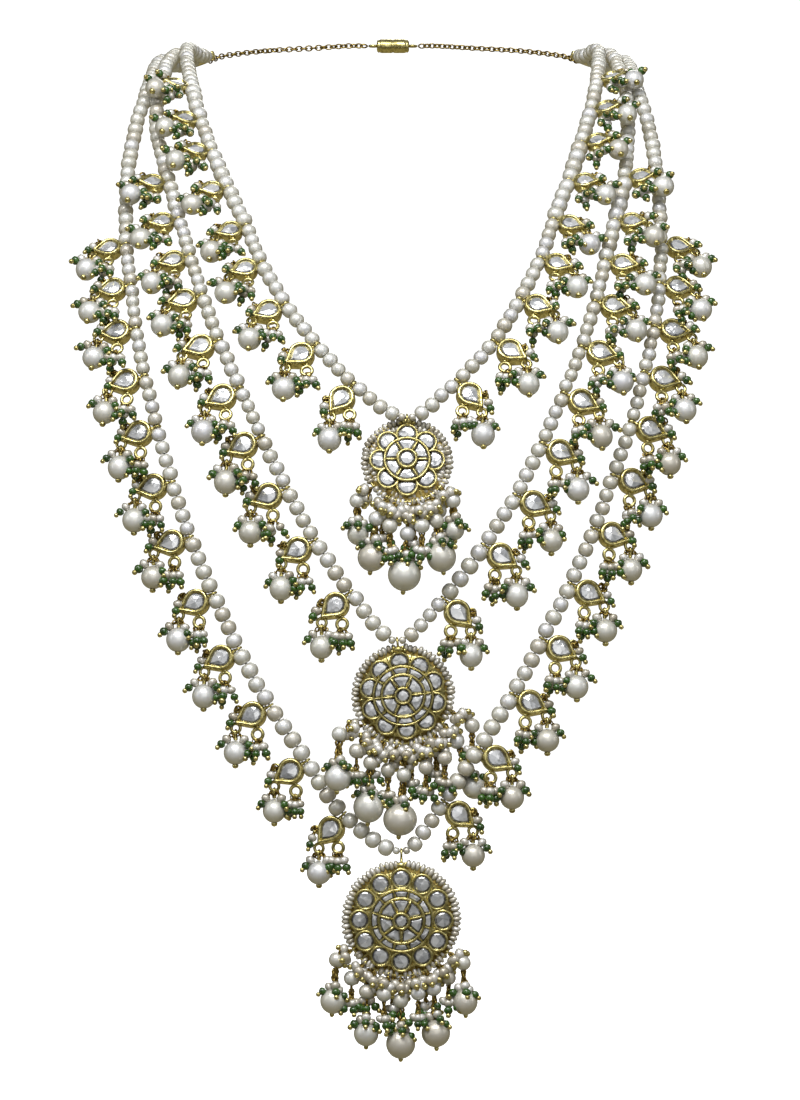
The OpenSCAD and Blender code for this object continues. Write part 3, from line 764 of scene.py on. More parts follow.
# %% Cut stones
def stone(outline, low, girdle, table, crown, bulge, seed):
    """Facets from an outline: a wall from low to girdle, a slanted crown up to the table's edge at
    crown times the outline, and a table of triangles to an off-centre point. Returns separate
    triangles with a painted shade each."""
    pick = np.random.default_rng(seed)
    n, middle = len(outline), outline.mean(0)
    steps = [(outline, low), (outline, girdle), (middle + crown * (outline - middle), table)]
    rings = np.stack([np.concatenate([flat, np.full((n, 1), z)], 1) for flat, z in steps])
    ahead = np.roll(rings, -1, 1)
    strips = [np.stack([rings[r], ahead[r], ahead[r + 1]], 1) for r in (0, 1)]
    strips += [np.stack([rings[r], ahead[r + 1], rings[r + 1]], 1) for r in (0, 1)]
    reach = np.linalg.norm(outline - middle, axis=1).min()
    tip = [*(middle + reach * pick.uniform(-0.35, 0.35, 2)), table + bulge]
    top = np.stack([rings[2], ahead[2], np.tile(tip, (n, 1))], 1)
    under = np.stack([ahead[0], rings[0], np.tile([*middle, low], (n, 1))], 1)
    points = np.concatenate(strips + [top, under]).reshape(-1, 3)
    # Painted light and shade: the walls and the underside dark, the crown a random grey, and the
    # table bright, at random in threes
    painted_dark = np.full(n, 0.1)
    painted_facet_shade = np.concatenate([painted_dark, pick.uniform(0.05, 0.5, n), painted_dark, pick.uniform(0.05, 0.5, n),
                               np.repeat(pick.uniform(0.55, 1.0, n // 3 + 1), 3)[:n], painted_dark])
    return points, NO_QUADS, np.arange(len(points)).reshape(-1, 3), np.repeat(painted_facet_shade, 3)


def in_frame(part, place, axes):
    """One part's points along a frame's axes, moved to its place."""
    points, quads, caps, tones_and_painted_shades = part
    return [points @ axes + place, quads, caps, tones_and_painted_shades]


# %% [markdown]
# ## Drops and dangles
# A pearl drop is a pearl on a gold pin: a ball closes it below, and above it the pin is bent into
# a loop and wound three times round itself. A dangle is the same with a seed pearl and a green bead.

# %% Dangles
SEED = (1.5, 1.25)
GREEN_R, GOLD_BALL_R = 1.32, 0.85
PLUMP = [(0, -0.95), (0.62, -0.83), (0.94, -0.42), (1.03, 0), (0.94, 0.42), (0.62, 0.83), (0, 0.95)]
plump_shape, speck_shape = turned(PLUMP, 9), ball(7, 4)
EYE_ROOM, TURN_AT, BALL_ROOM = 0.85, 0.75, 0.4
small_ring = ring(0.5, 0.2, 8, 4)
eye_ring = ring(0.62, 0.24, 9, 4)


class Heap:
    """Collects sets of copies by finish until a piece is made from them."""

    def __init__(self):
        self.gold, self.wire, self.seeds, self.green, self.pearls, self.stones = [], [], [], [], [], []


def metal(pile, shape, places, axes, sizes=1.0):
    """Copies of a metal shape, put on a pile. Metal has one even tint."""
    pile.append(copies(shape, places, axes, sizes, EVEN_TINT))


def tangle(heap, spots, count, spread, size=1.0):
    """Loops of fine wire about each spot, each turned its own way and off the spot by up to spread."""
    for _ in range(count):
        axes = frames_along(chance.standard_normal(spots.shape), chance.standard_normal(spots.shape))
        metal(heap.wire, eye_ring, spots + spread * chance.uniform(-1, 1, spots.shape), axes,
              size * (1 + 0.2 * chance.uniform(-1, 1, (len(spots), 1))))


def dangles(heap, starts, ways, green=True, plump=1.0):
    """An eye, a turn of wire, a seed pearl, a green bead if wanted and a gold ball from each start,
    along each way."""
    ways = unit(ways)
    count = len(starts)
    axes = frames_along(ways, chance.standard_normal((count, 3)))
    grow = plump * (1 + 0.08 * chance.uniform(-1, 1, (count, 1)))
    metal(heap.wire, eye_ring, starts, on_edge(axes))
    metal(heap.wire, small_ring, starts + TURN_AT * ways, axes, 0.95)
    seat = EYE_ROOM + SEED[1]
    heap.seeds.append(copies(plump_shape, starts + seat * ways, axes, grow * [SEED[0], *SEED]))
    if green:
        seat += 0.93 * SEED[1] + 0.85 * GREEN_R
        heap.green.append(copies(plump_shape, starts + seat * ways, axes,
                                 grow * [GREEN_R, GREEN_R, 0.9 * GREEN_R]))
        seat += 0.85 * GREEN_R + BALL_ROOM + 0.05
    else:
        seat += SEED[1] + BALL_ROOM
    metal(heap.gold, speck_shape, starts + seat * ways, axes, GOLD_BALL_R * grow)


# %% Settings, stones, drops and their dangles
drop_shape = ball(20, 13)
ring_shapes = {"link": ring(*LINK_RING, 14, 6), "cluster": ring(*CLUSTER_RING, 16, 7),
               "drop": ring(*DROP_RING, 14, 6), "side": ring(*SIDE_RING, 12, 5),
               "loop": ring(*DROP_LOOP, 14, 6)}
wrap = ring(0.5, 0.22, 8, 4)
# Where the rings sit, in cup sizes: in from the cup's edge and below it, in from its tip, and
# outwards and up beside it
EDGE_IN, CLUSTER_ROOM, TIP_IN, SIDE_OUT, SIDE_UP = 0.22, 0.5, 0.3, 2.6, 2.9
# Along a drop's pin: the turns of wire, the bare pin above the pearl and the ball below it
WRAPS, PIN_SHOWN, BALL_SEAT = (0.1, 0.42, 0.74), 0.9, 0.3
WAY_SPREAD = 0.12
# Dangles below a cluster ring: slant, how far forward, reach to the side and start below the ring
CLUSTER_DANGLES = ((-0.35, 0.3, -1.15, 0.3), (0.0, 0.6, -0.1, 0.6), (0.4, 0.2, 1.05, 0.2),
                   (-0.2, -0.2, -0.4, 1.2))


def drop_radius(height):
    """Drops get smaller towards the shoulders: 0.86 of the full radius at height 0, the whole from
    120 mm below."""
    return DROP_R * (0.86 + 0.14 * np.minimum(-height / 120, 1))


for half in LINKS:
    spot, out, across, face, down, hang, run = setting_frames(half)
    count, grow = len(spot), 1 + GROWTH * down_chest(spot, GROW_FROM, GROW_OVER)
    heap = Heap()
    # A cup is deep, and its face tips up about its length, so that its lower wall shows
    rise = np.where(across[:, 2:] > 0, across, -across)
    tip_up = math.radians(CUP_TILT) * down_chest(spot, TILT_FROM, TILT_OVER)
    face = np.cos(tip_up) * face + np.sin(tip_up) * rise
    cups = axes_of(out, np.cross(face, out), face)
    middle, tip = spot + grow * CUP_OUT * out, spot + grow * (CUP_OUT + CUP_TIP) * out
    up = -hang
    back = -flat_to(face, up)
    side = np.cross(back, up)
    facing, edgeways, hung = axes_of(side, up, -back), axes_of(back, up, side), frames_along(hang)
    metal(heap.gold, cup_shape, middle, cups, grow)
    metal(heap.gold, ring_shapes["link"], spot, frames_along(run))
    heap.gold.append(pins(spot + LINK_RING[0] * out, spot + 2.4 * grow * out, 0.6))
    # The cluster ring hangs from the cup's lower side
    lower = unit(0.9 * flat_to(down, face) + 0.35 * flat_to([0, 0, -1], face))
    edge = middle + grow * (CUP_R - EDGE_IN) * lower
    cluster = edge + grow * (CLUSTER_ROOM * lower + (CLUSTER_RING[0] + CLUSTER_ROOM) * hang)
    heap.gold.append(pins(edge, cluster - grow * CLUSTER_RING[0] * hang, 0.7))
    metal(heap.gold, ring_shapes["cluster"], cluster, facing, grow)
    hook = tip + grow * (DROP_RING[0] * hang - TIP_IN * out)
    metal(heap.gold, ring_shapes["drop"], hook, facing, grow)
    beside = middle + grow * (SIDE_OUT * out - SIDE_UP * flat_to(down, out))
    metal(heap.gold, ring_shapes["side"], beside, cups, grow)
    # Stones
    for i in range(count):
        # A stone's tip is blunter than its cup's
        outline = teardrop(12, CUP_R - RIM + 0.08)
        outline[0] *= 0.92
        points, *rest = stone(outline, 0.1, 0.72, 1.0, 0.8, 0.32, seed=count * 31 + i)
        heap.stones.append(in_frame((points * grow[i], *rest), middle[i], cups[i]))
    # Drops
    radius = drop_radius(spot[:, 2])[:, None]
    loop_down = grow * (DROP_RING[0] - CAD_DROP_WIRE - DROP_LOOP[1] + DROP_LOOP[0]) - THREAD_GAP
    loop = hook + loop_down * hang
    neck = loop + grow * DROP_LOOP[0] * hang
    heart = neck + (PIN_SHOWN * grow + radius) * hang
    metal(heap.gold, ring_shapes["loop"], loop, edgeways, grow)
    for step in WRAPS:
        metal(heap.gold, wrap, neck + step * hang, hung)
    shape_of = 1.01 + 0.035 * chance.uniform(-1, 1, (count, 3))
    heap.pearls.append(copies(drop_shape, heart, hung, radius * shape_of))
    metal(heap.gold, speck_shape, heart + (radius + BALL_SEAT) * hang, hung, [[1.05, 1.05, 0.85]])

    def sprig(start, slant, forward, reach=0.0):
        """One dangle at every setting, at a start pushed to the side, its way slanting and forward."""
        way = hang + slant * side - forward * back + WAY_SPREAD * chance.standard_normal((count, 3))
        dangles(heap, start + reach * side, way)

    # Dangles below the cluster ring; their eyes hold the ring side by side
    foot = cluster + grow * CLUSTER_RING[0] * hang
    for slant, forward, reach, lower_by in CLUSTER_DANGLES:
        sprig(foot + lower_by * hang, slant, forward, reach)
    tangle(heap, foot + 0.6 * hang, 5, 0.9, 1.2)
    # Dangles at both sides of the drop's loop lie along the pearl's shoulders
    for turn in (-1, 1):
        shoulder = hook + grow * DROP_RING[0] * hang + turn * 1.3 * side + 0.6 * hang
        tangle(heap, shoulder - 0.5 * turn * side, 2, 0.3)
        sprig(shoulder, 0.75 * turn, 0.45)
    tangle(heap, loop + 0.5 * hang, 3, 0.5, 1.1)
    # A bunch of loops on the side ring holds a dangle that stands off the cup's side
    tangle(heap, beside + 0.3 * out, 5, 0.8, 1.25)
    way = 0.4 * out + 0.85 * hang - 0.4 * back + WAY_SPREAD * chance.standard_normal((count, 3))
    dangles(heap, beside + 0.9 * out, way)
    add_piece("gold_" + half, heap.gold, gold, NECKLACE, ["settings_" + half])
    add_piece("stones_" + half, heap.stones, polki, NECKLACE, ["polki_" + half], smooth=False)
    add_piece("drop_pearls_" + half, heap.pearls, drop_pearl, NECKLACE, ["drops_" + half])
    add_piece("wire_" + half, heap.wire, wire_gold, NECKLACE)
    add_piece("seeds_" + half, heap.seeds, seed_pearl, NECKLACE)
    add_piece("green_" + half, heap.green, green_bead, NECKLACE)

# %% [markdown]
# ## The flower pendants
# Each pendant is a flower of gold cells on a flat back plate. Petals stand round a raised ring, an
# inner ring of cells rises a step more, and a round cup for the middle stone stands on top. The
# plate and the steps are turned or stacked outlines. The cell walls are thin strips with a rounded
# top edge, carried along arcs and spokes, as a goldsmith bends and solders them.

# %% Pendant sizes
# reach and depth: from the thread to the flower's middle; circle: where the petals' middles are;
# ring, inner and heart: radii of the steps; web: a disc that fills the petals' valleys
PENDANTS = {
    "small": dict(
        thread=THREAD["inner"], tilt=18, lean=0, reach=13, depth=3, petals=8, circle=8, petal=3.4,
        ring=7.05, inner=7.05, cells=6, heart=3.1, border=12.7, grain=1.2, rows=2, web=9.8, wall=0.72,
        body="small_pendant"),
    "middle": dict(
        thread=THREAD["middle"], tilt=0, lean=-6, reach=16.5, depth=2, petals=10, circle=10, petal=3.2,
        ring=9.1, inner=6.7, cells=6, heart=2.6, border=14.4, grain=1.25, rows=1, web=12.5, wall=0.65,
        body=NECKLACE),
    "large": dict(
        thread=THREAD["outer"], tilt=-3, lean=0, reach=20.3, depth=0, petals=12, circle=12.4, petal=3.3,
        ring=9.7, inner=7.15, cells=7, heart=2.7, border=16.8, grain=1.4, rows=1, web=14.5, wall=0.8,
        body="large_pendant")}
PETAL_H, TIER_H = 2.4, 0.8
BORDER_WIRE, BORDER_Z, BAIL_WIRE = 0.35, 0.6, 0.35
# Gold beads beside the bail: how far to the side, and above the top petal
BAIL_BEADS = ((-1.9, 0.2), (1.9, 0.2), (-1.35, 1.1), (1.35, 1.1))
UP = math.pi / 2


def pendant_frame(p):
    """The flower's middle and its axes as rows: to the right, up to the bail, and out of its face."""
    lean, rise = math.radians(-p["lean"]), math.radians(90 - p["tilt"])
    turn = np.array([[math.cos(lean), math.sin(lean), 0], [-math.sin(lean), math.cos(lean), 0], [0, 0, 1]])
    swing = np.array([[1, 0, 0], [0, math.cos(rise), math.sin(rise)], [0, -math.sin(rise), math.cos(rise)]])
    axes = turn @ swing
    return np.array(p["thread"], float) - p["reach"] * axes[1] - p["depth"] * axes[2], axes


# %% Strips and arcs
def strip(width, low, high):
    """Section of a cell wall: straight sides and a half-round top edge."""
    turn = np.linspace(0, math.pi, 7)
    half = width / 2
    top = np.stack([half * np.cos(turn), high - half + half * np.sin(turn)], 1)
    return np.vstack([[(-half, low), (half, low)], top])


def arc_wall(middle, radius, start, stop, section, steps, closed=False):
    """A section carried round an arc, clockwise from stop to start, square to the arc everywhere."""
    angle = np.linspace(stop, start, steps, endpoint=not closed)
    out = np.c_[polar(angle), 0 * angle]
    path = np.array([*middle, 0]) + radius * out
    return swept(path, out, np.tile([0.0, 0, 1], (steps, 1)), section, closed)


def spoke(angle, inside, outside, section):
    """A straight wall from the inside radius to the outside radius."""
    way = np.array([math.cos(angle), math.sin(angle), 0])
    path = np.linspace(inside, outside, 4)[:, None] * way
    return swept(path, np.tile(np.cross([0, 0, 1], way), (4, 1)), np.tile([0.0, 0, 1], (4, 1)), section)


def scallops(p, steps=12):
    """Outline of all petals together: along each ray, the far side of the nearest petal's circle."""
    turn = 2 * math.pi / p["petals"]
    angle = UP + turn * np.arange(p["petals"] * steps) / steps
    off = (angle - UP + turn / 2) % turn - turn / 2
    reach = p["circle"] * np.cos(off) + np.sqrt(p["petal"] ** 2 - (p["circle"] * np.sin(off)) ** 2)
    return polar(angle, reach)


# %% The flower's gold
def steps_of(p):
    """The count of a flower's steps, and the height of the wall round its middle stone."""
    tiers = 3 if p["ring"] > p["inner"] else 2
    return tiers, PETAL_H + tiers * TIER_H


PLATE_ROWS = [(0, 0, 0), (0.9, 0, 0), (1, -0.3, 0.04), (1, -0.06, 0.2), (1, 0, 0.5), (1, 0, 1.0),
              (1, -0.1, 1.2), (0, 0, 1.22)]


def flower_gold(p):
    """All the gold of one flower, flat on its back at the origin."""
    web, wall, border = p["web"], p["wall"], p["border"]
    tiers, top = steps_of(p)
    parts = [stacked(scallops(p), PLATE_ROWS),
             turned([(0, 0.1), (web - 0.4, 0.1), (web, 0.3), (web, 0.6), (web - 0.2, 0.8), (0, 0.85)], 48)]
    # The steps: one profile from the back up over each wall's rounded edge and each cell's floor
    edges = [(p["ring"], PETAL_H + TIER_H, 1.8)]
    if tiers == 3:
        edges.append((p["inner"], PETAL_H + 2 * TIER_H, 2.6))
    edges.append((p["heart"], top, top - 1.5))
    profile = [(0, 0.4), (p["ring"], 0.4)]
    half = wall / 2
    for radius, high, floor in edges:
        profile += [(radius, profile[-1][1])] if radius < p["ring"] else []
        profile += [(radius - half + half * math.cos(t), high - half + half * math.sin(t))
                    for t in np.linspace(0, math.pi, 7)]
        profile += [(radius - wall, floor)]
    parts.append(turned(profile + [(0, floor)], 56))
    # Petal walls: each an arc of its petal's circle that ends at the ring
    middle_line = p["petal"] - half
    meet = ((p["ring"] - 0.35) ** 2 - p["circle"] ** 2 - middle_line ** 2) / (2 * p["circle"] * middle_line)
    # A petal that only just touches the ring keeps its whole circle
    closed = meet < -0.97
    half_turn = math.pi if closed else math.acos(meet)
    for i, angle in enumerate(UP + turns(p["petals"])):
        middle = (p["circle"] * math.cos(angle), p["circle"] * math.sin(angle))
        section = strip(wall, 0.6, PETAL_H - 0.03 * (i % 2))
        parts.append(arc_wall(middle, middle_line, angle - half_turn, angle + half_turn, section, 22, closed))
    # Spokes between the cells: count, from, to, height and share of the wall's width
    for count, inside, outside, high, share in (
            (p["petals"] if tiers == 3 else 0, p["inner"], p["ring"], PETAL_H + TIER_H - 0.25, 0.5),
            (p["cells"], p["heart"], p["inner"], PETAL_H + (tiers - 1) * TIER_H, 0.85)):
        for angle in UP + turns(count, 0.5):
            parts.append(spoke(angle, inside - 0.2, outside - half, strip(wall * share, 1.2, high)))
    # The border wire is open at the bail; short wires carry it
    parts.append(arc_wall((0, 0), border, UP + math.radians(15), UP + math.radians(345),
                          polar(turns(6), BORDER_WIRE) + [0, BORDER_Z], 72))
    angle = UP + turns(p["petals"], 0.5)
    way = np.c_[polar(angle), 0 * angle]
    rods = pins(p["circle"] * way + [0, 0, BORDER_Z], border * way + [0, 0, BORDER_Z], 0.27)
    # The bail stands on its lug above the top petal, between a knob and small beads
    edge = p["circle"] + p["petal"]
    bail_r = 1.5 if p["reach"] > 15 else 1.2
    bail_y = p["reach"] - bail_r + BAIL_WIRE + 0.4 + THREAD_GAP
    lug_z = min(max(p["depth"], 0.6), PETAL_H - 0.6)
    points, quads, caps = ring(bail_r, BAIL_WIRE, 20, 8)
    parts.append((points[:, [2, 1, 0]] * [1, 1, -1] + [0, bail_y, p["depth"]], quads, caps))
    lug = pins(np.array([[0, edge - 0.35, lug_z]]), np.array([[0, bail_y - bail_r + 0.15, lug_z]]), 0.45)
    level = np.tile(np.eye(3), (len(BAIL_BEADS), 1, 1))
    knob = copies(ball(12, 8), [[0, edge + 0.6, lug_z + 0.5]], level[:1], [[1.5, 1.15, 1.1]], EVEN_TINT)
    places = [[x, edge + y, lug_z + 0.2] for x, y in BAIL_BEADS]
    beads = copies(ball(8, 5), places, level, 0.62, EVEN_TINT)
    return [whole(part) for part in parts] + [rods, lug, knob, beads]


# %% Flower stones
def half_moon(p, room=0.06, count=16):
    """A petal stone's outline: the pocket's circle, cut off where the raised ring stands."""
    angle = turns(count, 0.5)
    radius, c, q = p["petal"] - p["wall"] - room, p["circle"], p["ring"] + room
    square = (c * np.cos(angle)) ** 2 - c * c + q * q
    near = -c * np.cos(angle) - np.sqrt(np.maximum(square, 0))
    reach = np.where((np.cos(angle) < 0) & (square > 0), np.minimum(radius, near), radius)
    return [c, 0] + polar(angle, reach)


def sector(count, inside, outside, wall, room=0.06, steps=5):
    """A cell stone's outline: two arcs between two spokes, with its corners cut."""
    def spread(r):
        return math.pi / count - (wall / 2 + room) / r
    inside, outside = inside + room, outside - room
    far, near = spread(outside) * 0.93, spread(inside) * 0.86
    corner = 0.86 * outside + 0.14 * inside
    side = polar([spread(corner)], corner)
    return np.vstack([polar(np.linspace(-far, far, steps), outside), side,
                      polar(np.linspace(near, -near, steps - 1), inside), side * [1, -1]])


def about(outline, angle):
    """An outline turned about the flower's middle."""
    c, s = math.cos(angle), math.sin(angle)
    return outline @ np.array([[c, s], [-s, c]])


def flower_stones(p):
    """Every stone of one flower, flat on its back at the origin."""
    wall, (tiers, top) = p["wall"], steps_of(p)
    low = 1.85 + (tiers - 2) * TIER_H
    # Rings of stones: count, outline, its low, girdle and table heights with the crown, first seed
    rings = [(p["petals"], half_moon(p), (1.25, 1.95, 2.3, 0.78), 100),
             (p["petals"] if tiers == 3 else 0, sector(p["petals"], p["inner"], p["ring"] - wall, 0.34),
              (1.85, 2.6, 2.98, 0.78), 200),
             (p["cells"], sector(p["cells"], p["heart"], p["inner"] - wall, 0.85 * wall),
              (low, low + 0.8, low + 1.1, 0.76), 300)]
    parts = [stone(about(outline, angle), *heights, 0.1, seed=seed + i)
             for count, outline, heights, seed in rings for i, angle in enumerate(UP + turns(count))]
    outline = polar(turns(12, 0.5), p["heart"] - wall - 0.04)
    return parts + [stone(outline, top - 1.45, top - 0.5, top - 0.05, 0.74, 0.12, seed=400)]


# %% [markdown]
# ## Seed pearls round the flower
# Seed pearls are threaded side by side on the border wire. They are flat across the wire and long
# away from the flower, and no two are quite alike.

# %% Border seeds
SEED_PITCH, SEED_LOW = 1.5, 0.5


def border_seeds(heap, p, place, axes, gaps):
    """Seeds on the border wire from one side of the bail round to the other, apart from the gaps.
    They lie SEED_LOW further back where the fringe hangs. A flower with deep valleys between its
    petals has a second row inside, set back."""
    step = SEED_PITCH / p["border"]
    ring_of = UP + np.arange(math.radians(5), 2 * math.pi - math.radians(4.9), step)
    placed = 0
    for row, (inset, sunk) in enumerate(((0.0, 0.0), (1.9, 0.4))[:p["rows"]]):
        angle = ring_of + (0.5 * row + 0.07 * chance.standard_normal(len(ring_of))) * step
        off = np.abs((angle[:, None] - gaps[None] + math.pi) % (2 * math.pi) - math.pi).min(1)
        angle = angle[off > 0.5 * step]
        count = len(angle)
        out = np.stack([np.cos(angle), np.sin(angle), 0.1 * chance.standard_normal(count)], 1)
        heading = np.stack([-np.sin(angle), np.cos(angle), 0.1 * chance.standard_normal(count)], 1)
        reach = p["border"] + 1.15 - p["grain"] - inset + 0.1 * chance.standard_normal(count)
        height = BORDER_Z - sunk - SEED_LOW * (np.sin(angle) < -0.4) + 0.18 * chance.standard_normal(count)
        local = np.c_[polar(angle, reach), height]
        heading = unit(heading)
        first = flat_to(unit(out), heading)
        frames = axes_of(first, np.cross(heading, first), heading) @ axes
        sizes = (1 + 0.1 * chance.uniform(-1, 1, (count, 3))) * [p["grain"], 1.2, 0.8]
        heap.seeds.append(copies(plump_shape, local @ axes + place, frames, sizes))
        placed += count
    return placed


# %% [markdown]
# ## The fringe
# From the lower half of the border hang wire-wrapped pearls. Each line starts with a ring on the
# border, a bunch of seed pearls hides the wire, then comes a middle pearl. The long lines end in a
# big pearl, with green beads on short pins where the wire is knotted above it. The short ones end
# in three beads, and some of them hang behind the others.

# %% Fringe places
# Middle pearl x, z, big pearl x, z and radius, and how far forward, from the flower's middle
FRINGE = {
    "small": [
        (-14.9, -11.7, -14.6, -21.7, 3.3, 0), (-9.2, -17.1, -10.5, -28.6, 4.3, 0),
        (0.1, -21.6, -0.8, -33.7, 5, 0), (8.8, -17.7, 10.2, -28.4, 4.5, 0),
        (13.6, -11.7, 14.1, -20.5, 3, 0)],
    "middle": [
        (-19, -11.4, -19.5, -24.3, 4, 4.5), (-9.7, -20.1, -10.3, -33.2, 4.7, 1),
        (0.2, -23.7, -0.9, -36.9, 5, 1), (16.1, -13.8, 21.5, -27.3, 3.8, -3)],
    "large": [
        (-19.4, -12, -20.4, -24.3, 3.8, 0), (-10.4, -21.6, -10.5, -34.1, 3.7, 0),
        (-0.2, -24.3, -0.2, -37.1, 4.4, 0), (9.7, -20.7, 10.3, -33.9, 4.4, 0),
        (18.4, -12.9, 19, -24.5, 3.9, 0)]}
# Lines that end in beads only: middle pearl x, z and how far forward
SHORT_LINES = {
    "small": [
        (-5.1, -19.3, 1.2), (4.4, -19.2, 1.2), (-7.4, -15.6, -1.6), (2.2, -17.2, -1.6),
        (9.6, -14.6, -1.6)],
    "middle": [
        (-13.9, -16.5, 1.0), (-4.5, -22.3, -0.8), (6.8, -21.4, 0.8), (12.4, -18.6, 1.2),
        (20.6, -9.0, -1.5), (-9.0, -16.4, -1.8), (2.4, -19.0, -1.8), (10.0, -16.2, -1.8)],
    "large": [
        (-14.9, -17.6, -0.8), (-5.2, -22.2, 1.0), (5.0, -21.9, 1.0), (14.1, -17.4, -0.8),
        (-10.6, -17.2, -1.8), (-2.4, -19.4, -1.8), (7.3, -18.6, -1.8)]}
FRINGE_RING = (0.8, 0.24)
MIDDLE_PEARL = 2.3
big_shape, middle_shape = ball(24, 15), ball(16, 9)
fringe_ring = ring(*FRINGE_RING, 12, 5)


# %% Fringe
def knots(heap, starts, ends, shares, size):
    """Small wire loops between starts and ends, each turned its own way."""
    run = unit(ends - starts)
    for share in shares:
        axes = frames_along(run, chance.standard_normal(run.shape))
        metal(heap.wire, small_ring, starts + share * (ends - starts), on_edge(axes), size)


def fringe(heap, level, p, place, axes):
    """All lines of one pendant's fringe. Returns the angles of the long lines' rings on the border."""
    rows, short = np.array(FRINGE[level], float), np.array(SHORT_LINES[level], float)
    long = len(rows)
    flat = np.vstack([rows[:, :2], short[:, :2]])
    forward = np.concatenate([rows[:, 5] / 2, short[:, 2]])
    on_wire = np.c_[p["border"] * unit(flat), np.full(len(flat), BORDER_Z)] @ axes + place
    low = place + BORDER_Z * axes[2]
    upper = np.stack([low[0] + flat[:, 0], on_wire[:, 1] - forward, low[2] + flat[:, 1]], 1)
    big = np.stack([low[0] + rows[:, 2], on_wire[:long, 1] - rows[:, 5], low[2] + rows[:, 3]], 1)
    face, down = np.array([0.0, -1, 0]), np.array([0.0, 0, -1])
    # Ring on the border and the wire to the middle pearl
    way = unit(upper - on_wire)
    tangent = unit(np.cross(way, face))
    shift = FRINGE_RING[0] - BORDER_WIRE - FRINGE_RING[1] - THREAD_GAP
    ring_frames = axes_of(way, np.cross(tangent, way), tangent)
    metal(heap.gold, fringe_ring, on_wire + shift * way, ring_frames)
    below_ring = on_wire + (shift + FRINGE_RING[0]) * way
    knots(heap, below_ring, upper - (MIDDLE_PEARL + 0.2) * way, (0.1, 0.3, 0.5, 0.75, 0.95), 1.5)
    heap.gold.append(pins(below_ring, upper, 0.25))
    # Seed pearls bunched above each middle pearl, with no green
    across = unit(np.cross(face, way))
    for turn, ahead, share in ((-1.1, 0.3, 0.05), (1.1, 0.4, 0.25), (-0.1, 0.9, 0.15), (0.9, -0.6, 0.5)):
        start = below_ring + share * (upper - below_ring)
        aim = way + turn * across + ahead * face + 0.2 * chance.standard_normal(way.shape)
        dangles(heap, start, aim, green=False, plump=1.15)
    tangle(heap, below_ring + 0.45 * (upper - below_ring), 6, 1.4, 1.3)
    # Middle pearls
    grow = 1 + 0.05 * chance.uniform(-1, 1, upper.shape)
    heap.pearls.append(copies(middle_shape, upper, frames_along(way), MIDDLE_PEARL * grow))
    # Big pearls, the knots above them and the ball below
    run = unit(big - upper[:long])
    hung, radius = frames_along(run), rows[:, 4:5]
    grow = 1 + 0.03 * chance.uniform(-1, 1, big.shape)
    heap.pearls.append(copies(big_shape, big, hung, radius * grow))
    start, neck = upper[:long] + MIDDLE_PEARL * run, big - radius * run
    heap.wire.append(pins(start - 0.3 * run, neck + 0.3 * run, 0.45))
    knots(heap, start, neck, (0.06, 0.2, 0.34, 0.5, 0.66, 0.82, 0.97), 2.0)
    bottom = big + (radius + 0.25) * run
    metal(heap.gold, speck_shape, bottom, hung, [[0.78, 0.78, 0.9]])
    metal(heap.gold, small_ring, bottom - 0.35 * run, hung, 1.1)
    for turn, ahead, lift in ((-1.25, 0.4, 1.6), (1.15, 0.5, 0.9), (0.2, 1.0, 2.6)):
        aim = run + turn * np.cross(face, run) + ahead * face
        dangles(heap, neck - lift * run, aim + 0.15 * chance.standard_normal(aim.shape))
    tangle(heap, neck - 1.2 * run, 5, 0.9, 1.3)
    # Short lines end in a knot and three beads
    start = upper[long:] + MIDDLE_PEARL * down
    end = start + 3.4 * down
    knots(heap, start, end, (0.0, 0.25, 0.5, 0.75, 1.0), 1.6)
    heap.gold.append(pins(start, end, 0.22))
    for turn, ahead in ((-0.8, 0.3), (0.75, 0.35), (0.0, 0.7)):
        aim = down + turn * np.array([1.0, 0, 0]) + ahead * face
        dangles(heap, end, aim + 0.15 * chance.standard_normal(end.shape))
    local = (on_wire - place) @ axes.T
    return np.arctan2(local[:long, 1], local[:long, 0])


# %% Pendants
for level, p in PENDANTS.items():
    place, axes = pendant_frame(p)
    heap = Heap()
    heap.gold += [in_frame(part, place, axes) for part in flower_gold(p)]
    # A thin sheet of the darker wire gold closes the back between the petals and the border wire
    edge = p["border"]
    sheet = turned([(0, 0.12), (edge - 0.2, 0.12), (edge, 0.25), (edge, 0.45), (edge - 0.2, 0.55),
                    (0, 0.58)], 60)
    heap.wire.append(in_frame(whole(sheet), place, axes))
    stones = [in_frame(part, place, axes) for part in flower_stones(p)]
    gaps = fringe(heap, level, p, place, axes)
    seeds = border_seeds(heap, p, place, axes, gaps)
    lines = [f"{level}_fringe_drop_{i + 1}" for i in range(len(FRINGE[level]))]
    add_piece(level + "_gold", heap.gold, gold, p["body"], [level + "_flower"])
    add_piece(level + "_stones", stones, polki, p["body"],
              [level + "_petal_polki", level + "_centre_polki"], smooth=False)
    add_piece(level + "_pearls", heap.pearls, drop_pearl, p["body"], lines)
    add_piece(level + "_wire", heap.wire, wire_gold, p["body"])
    add_piece(level + "_seeds", heap.seeds, seed_pearl, p["body"])
    add_piece(level + "_green", heap.green, green_bead, p["body"])
    print(level, "flower:", seeds, "border seeds and", len(gaps), "lines")

# %% [markdown]
# ## End bars, chain and clasp
# Behind the neck the three strands end in a gold bar, a cable chain runs from each bar, and a
# barrel clasp joins the two. The photograph doesn't show them, so they are plain.

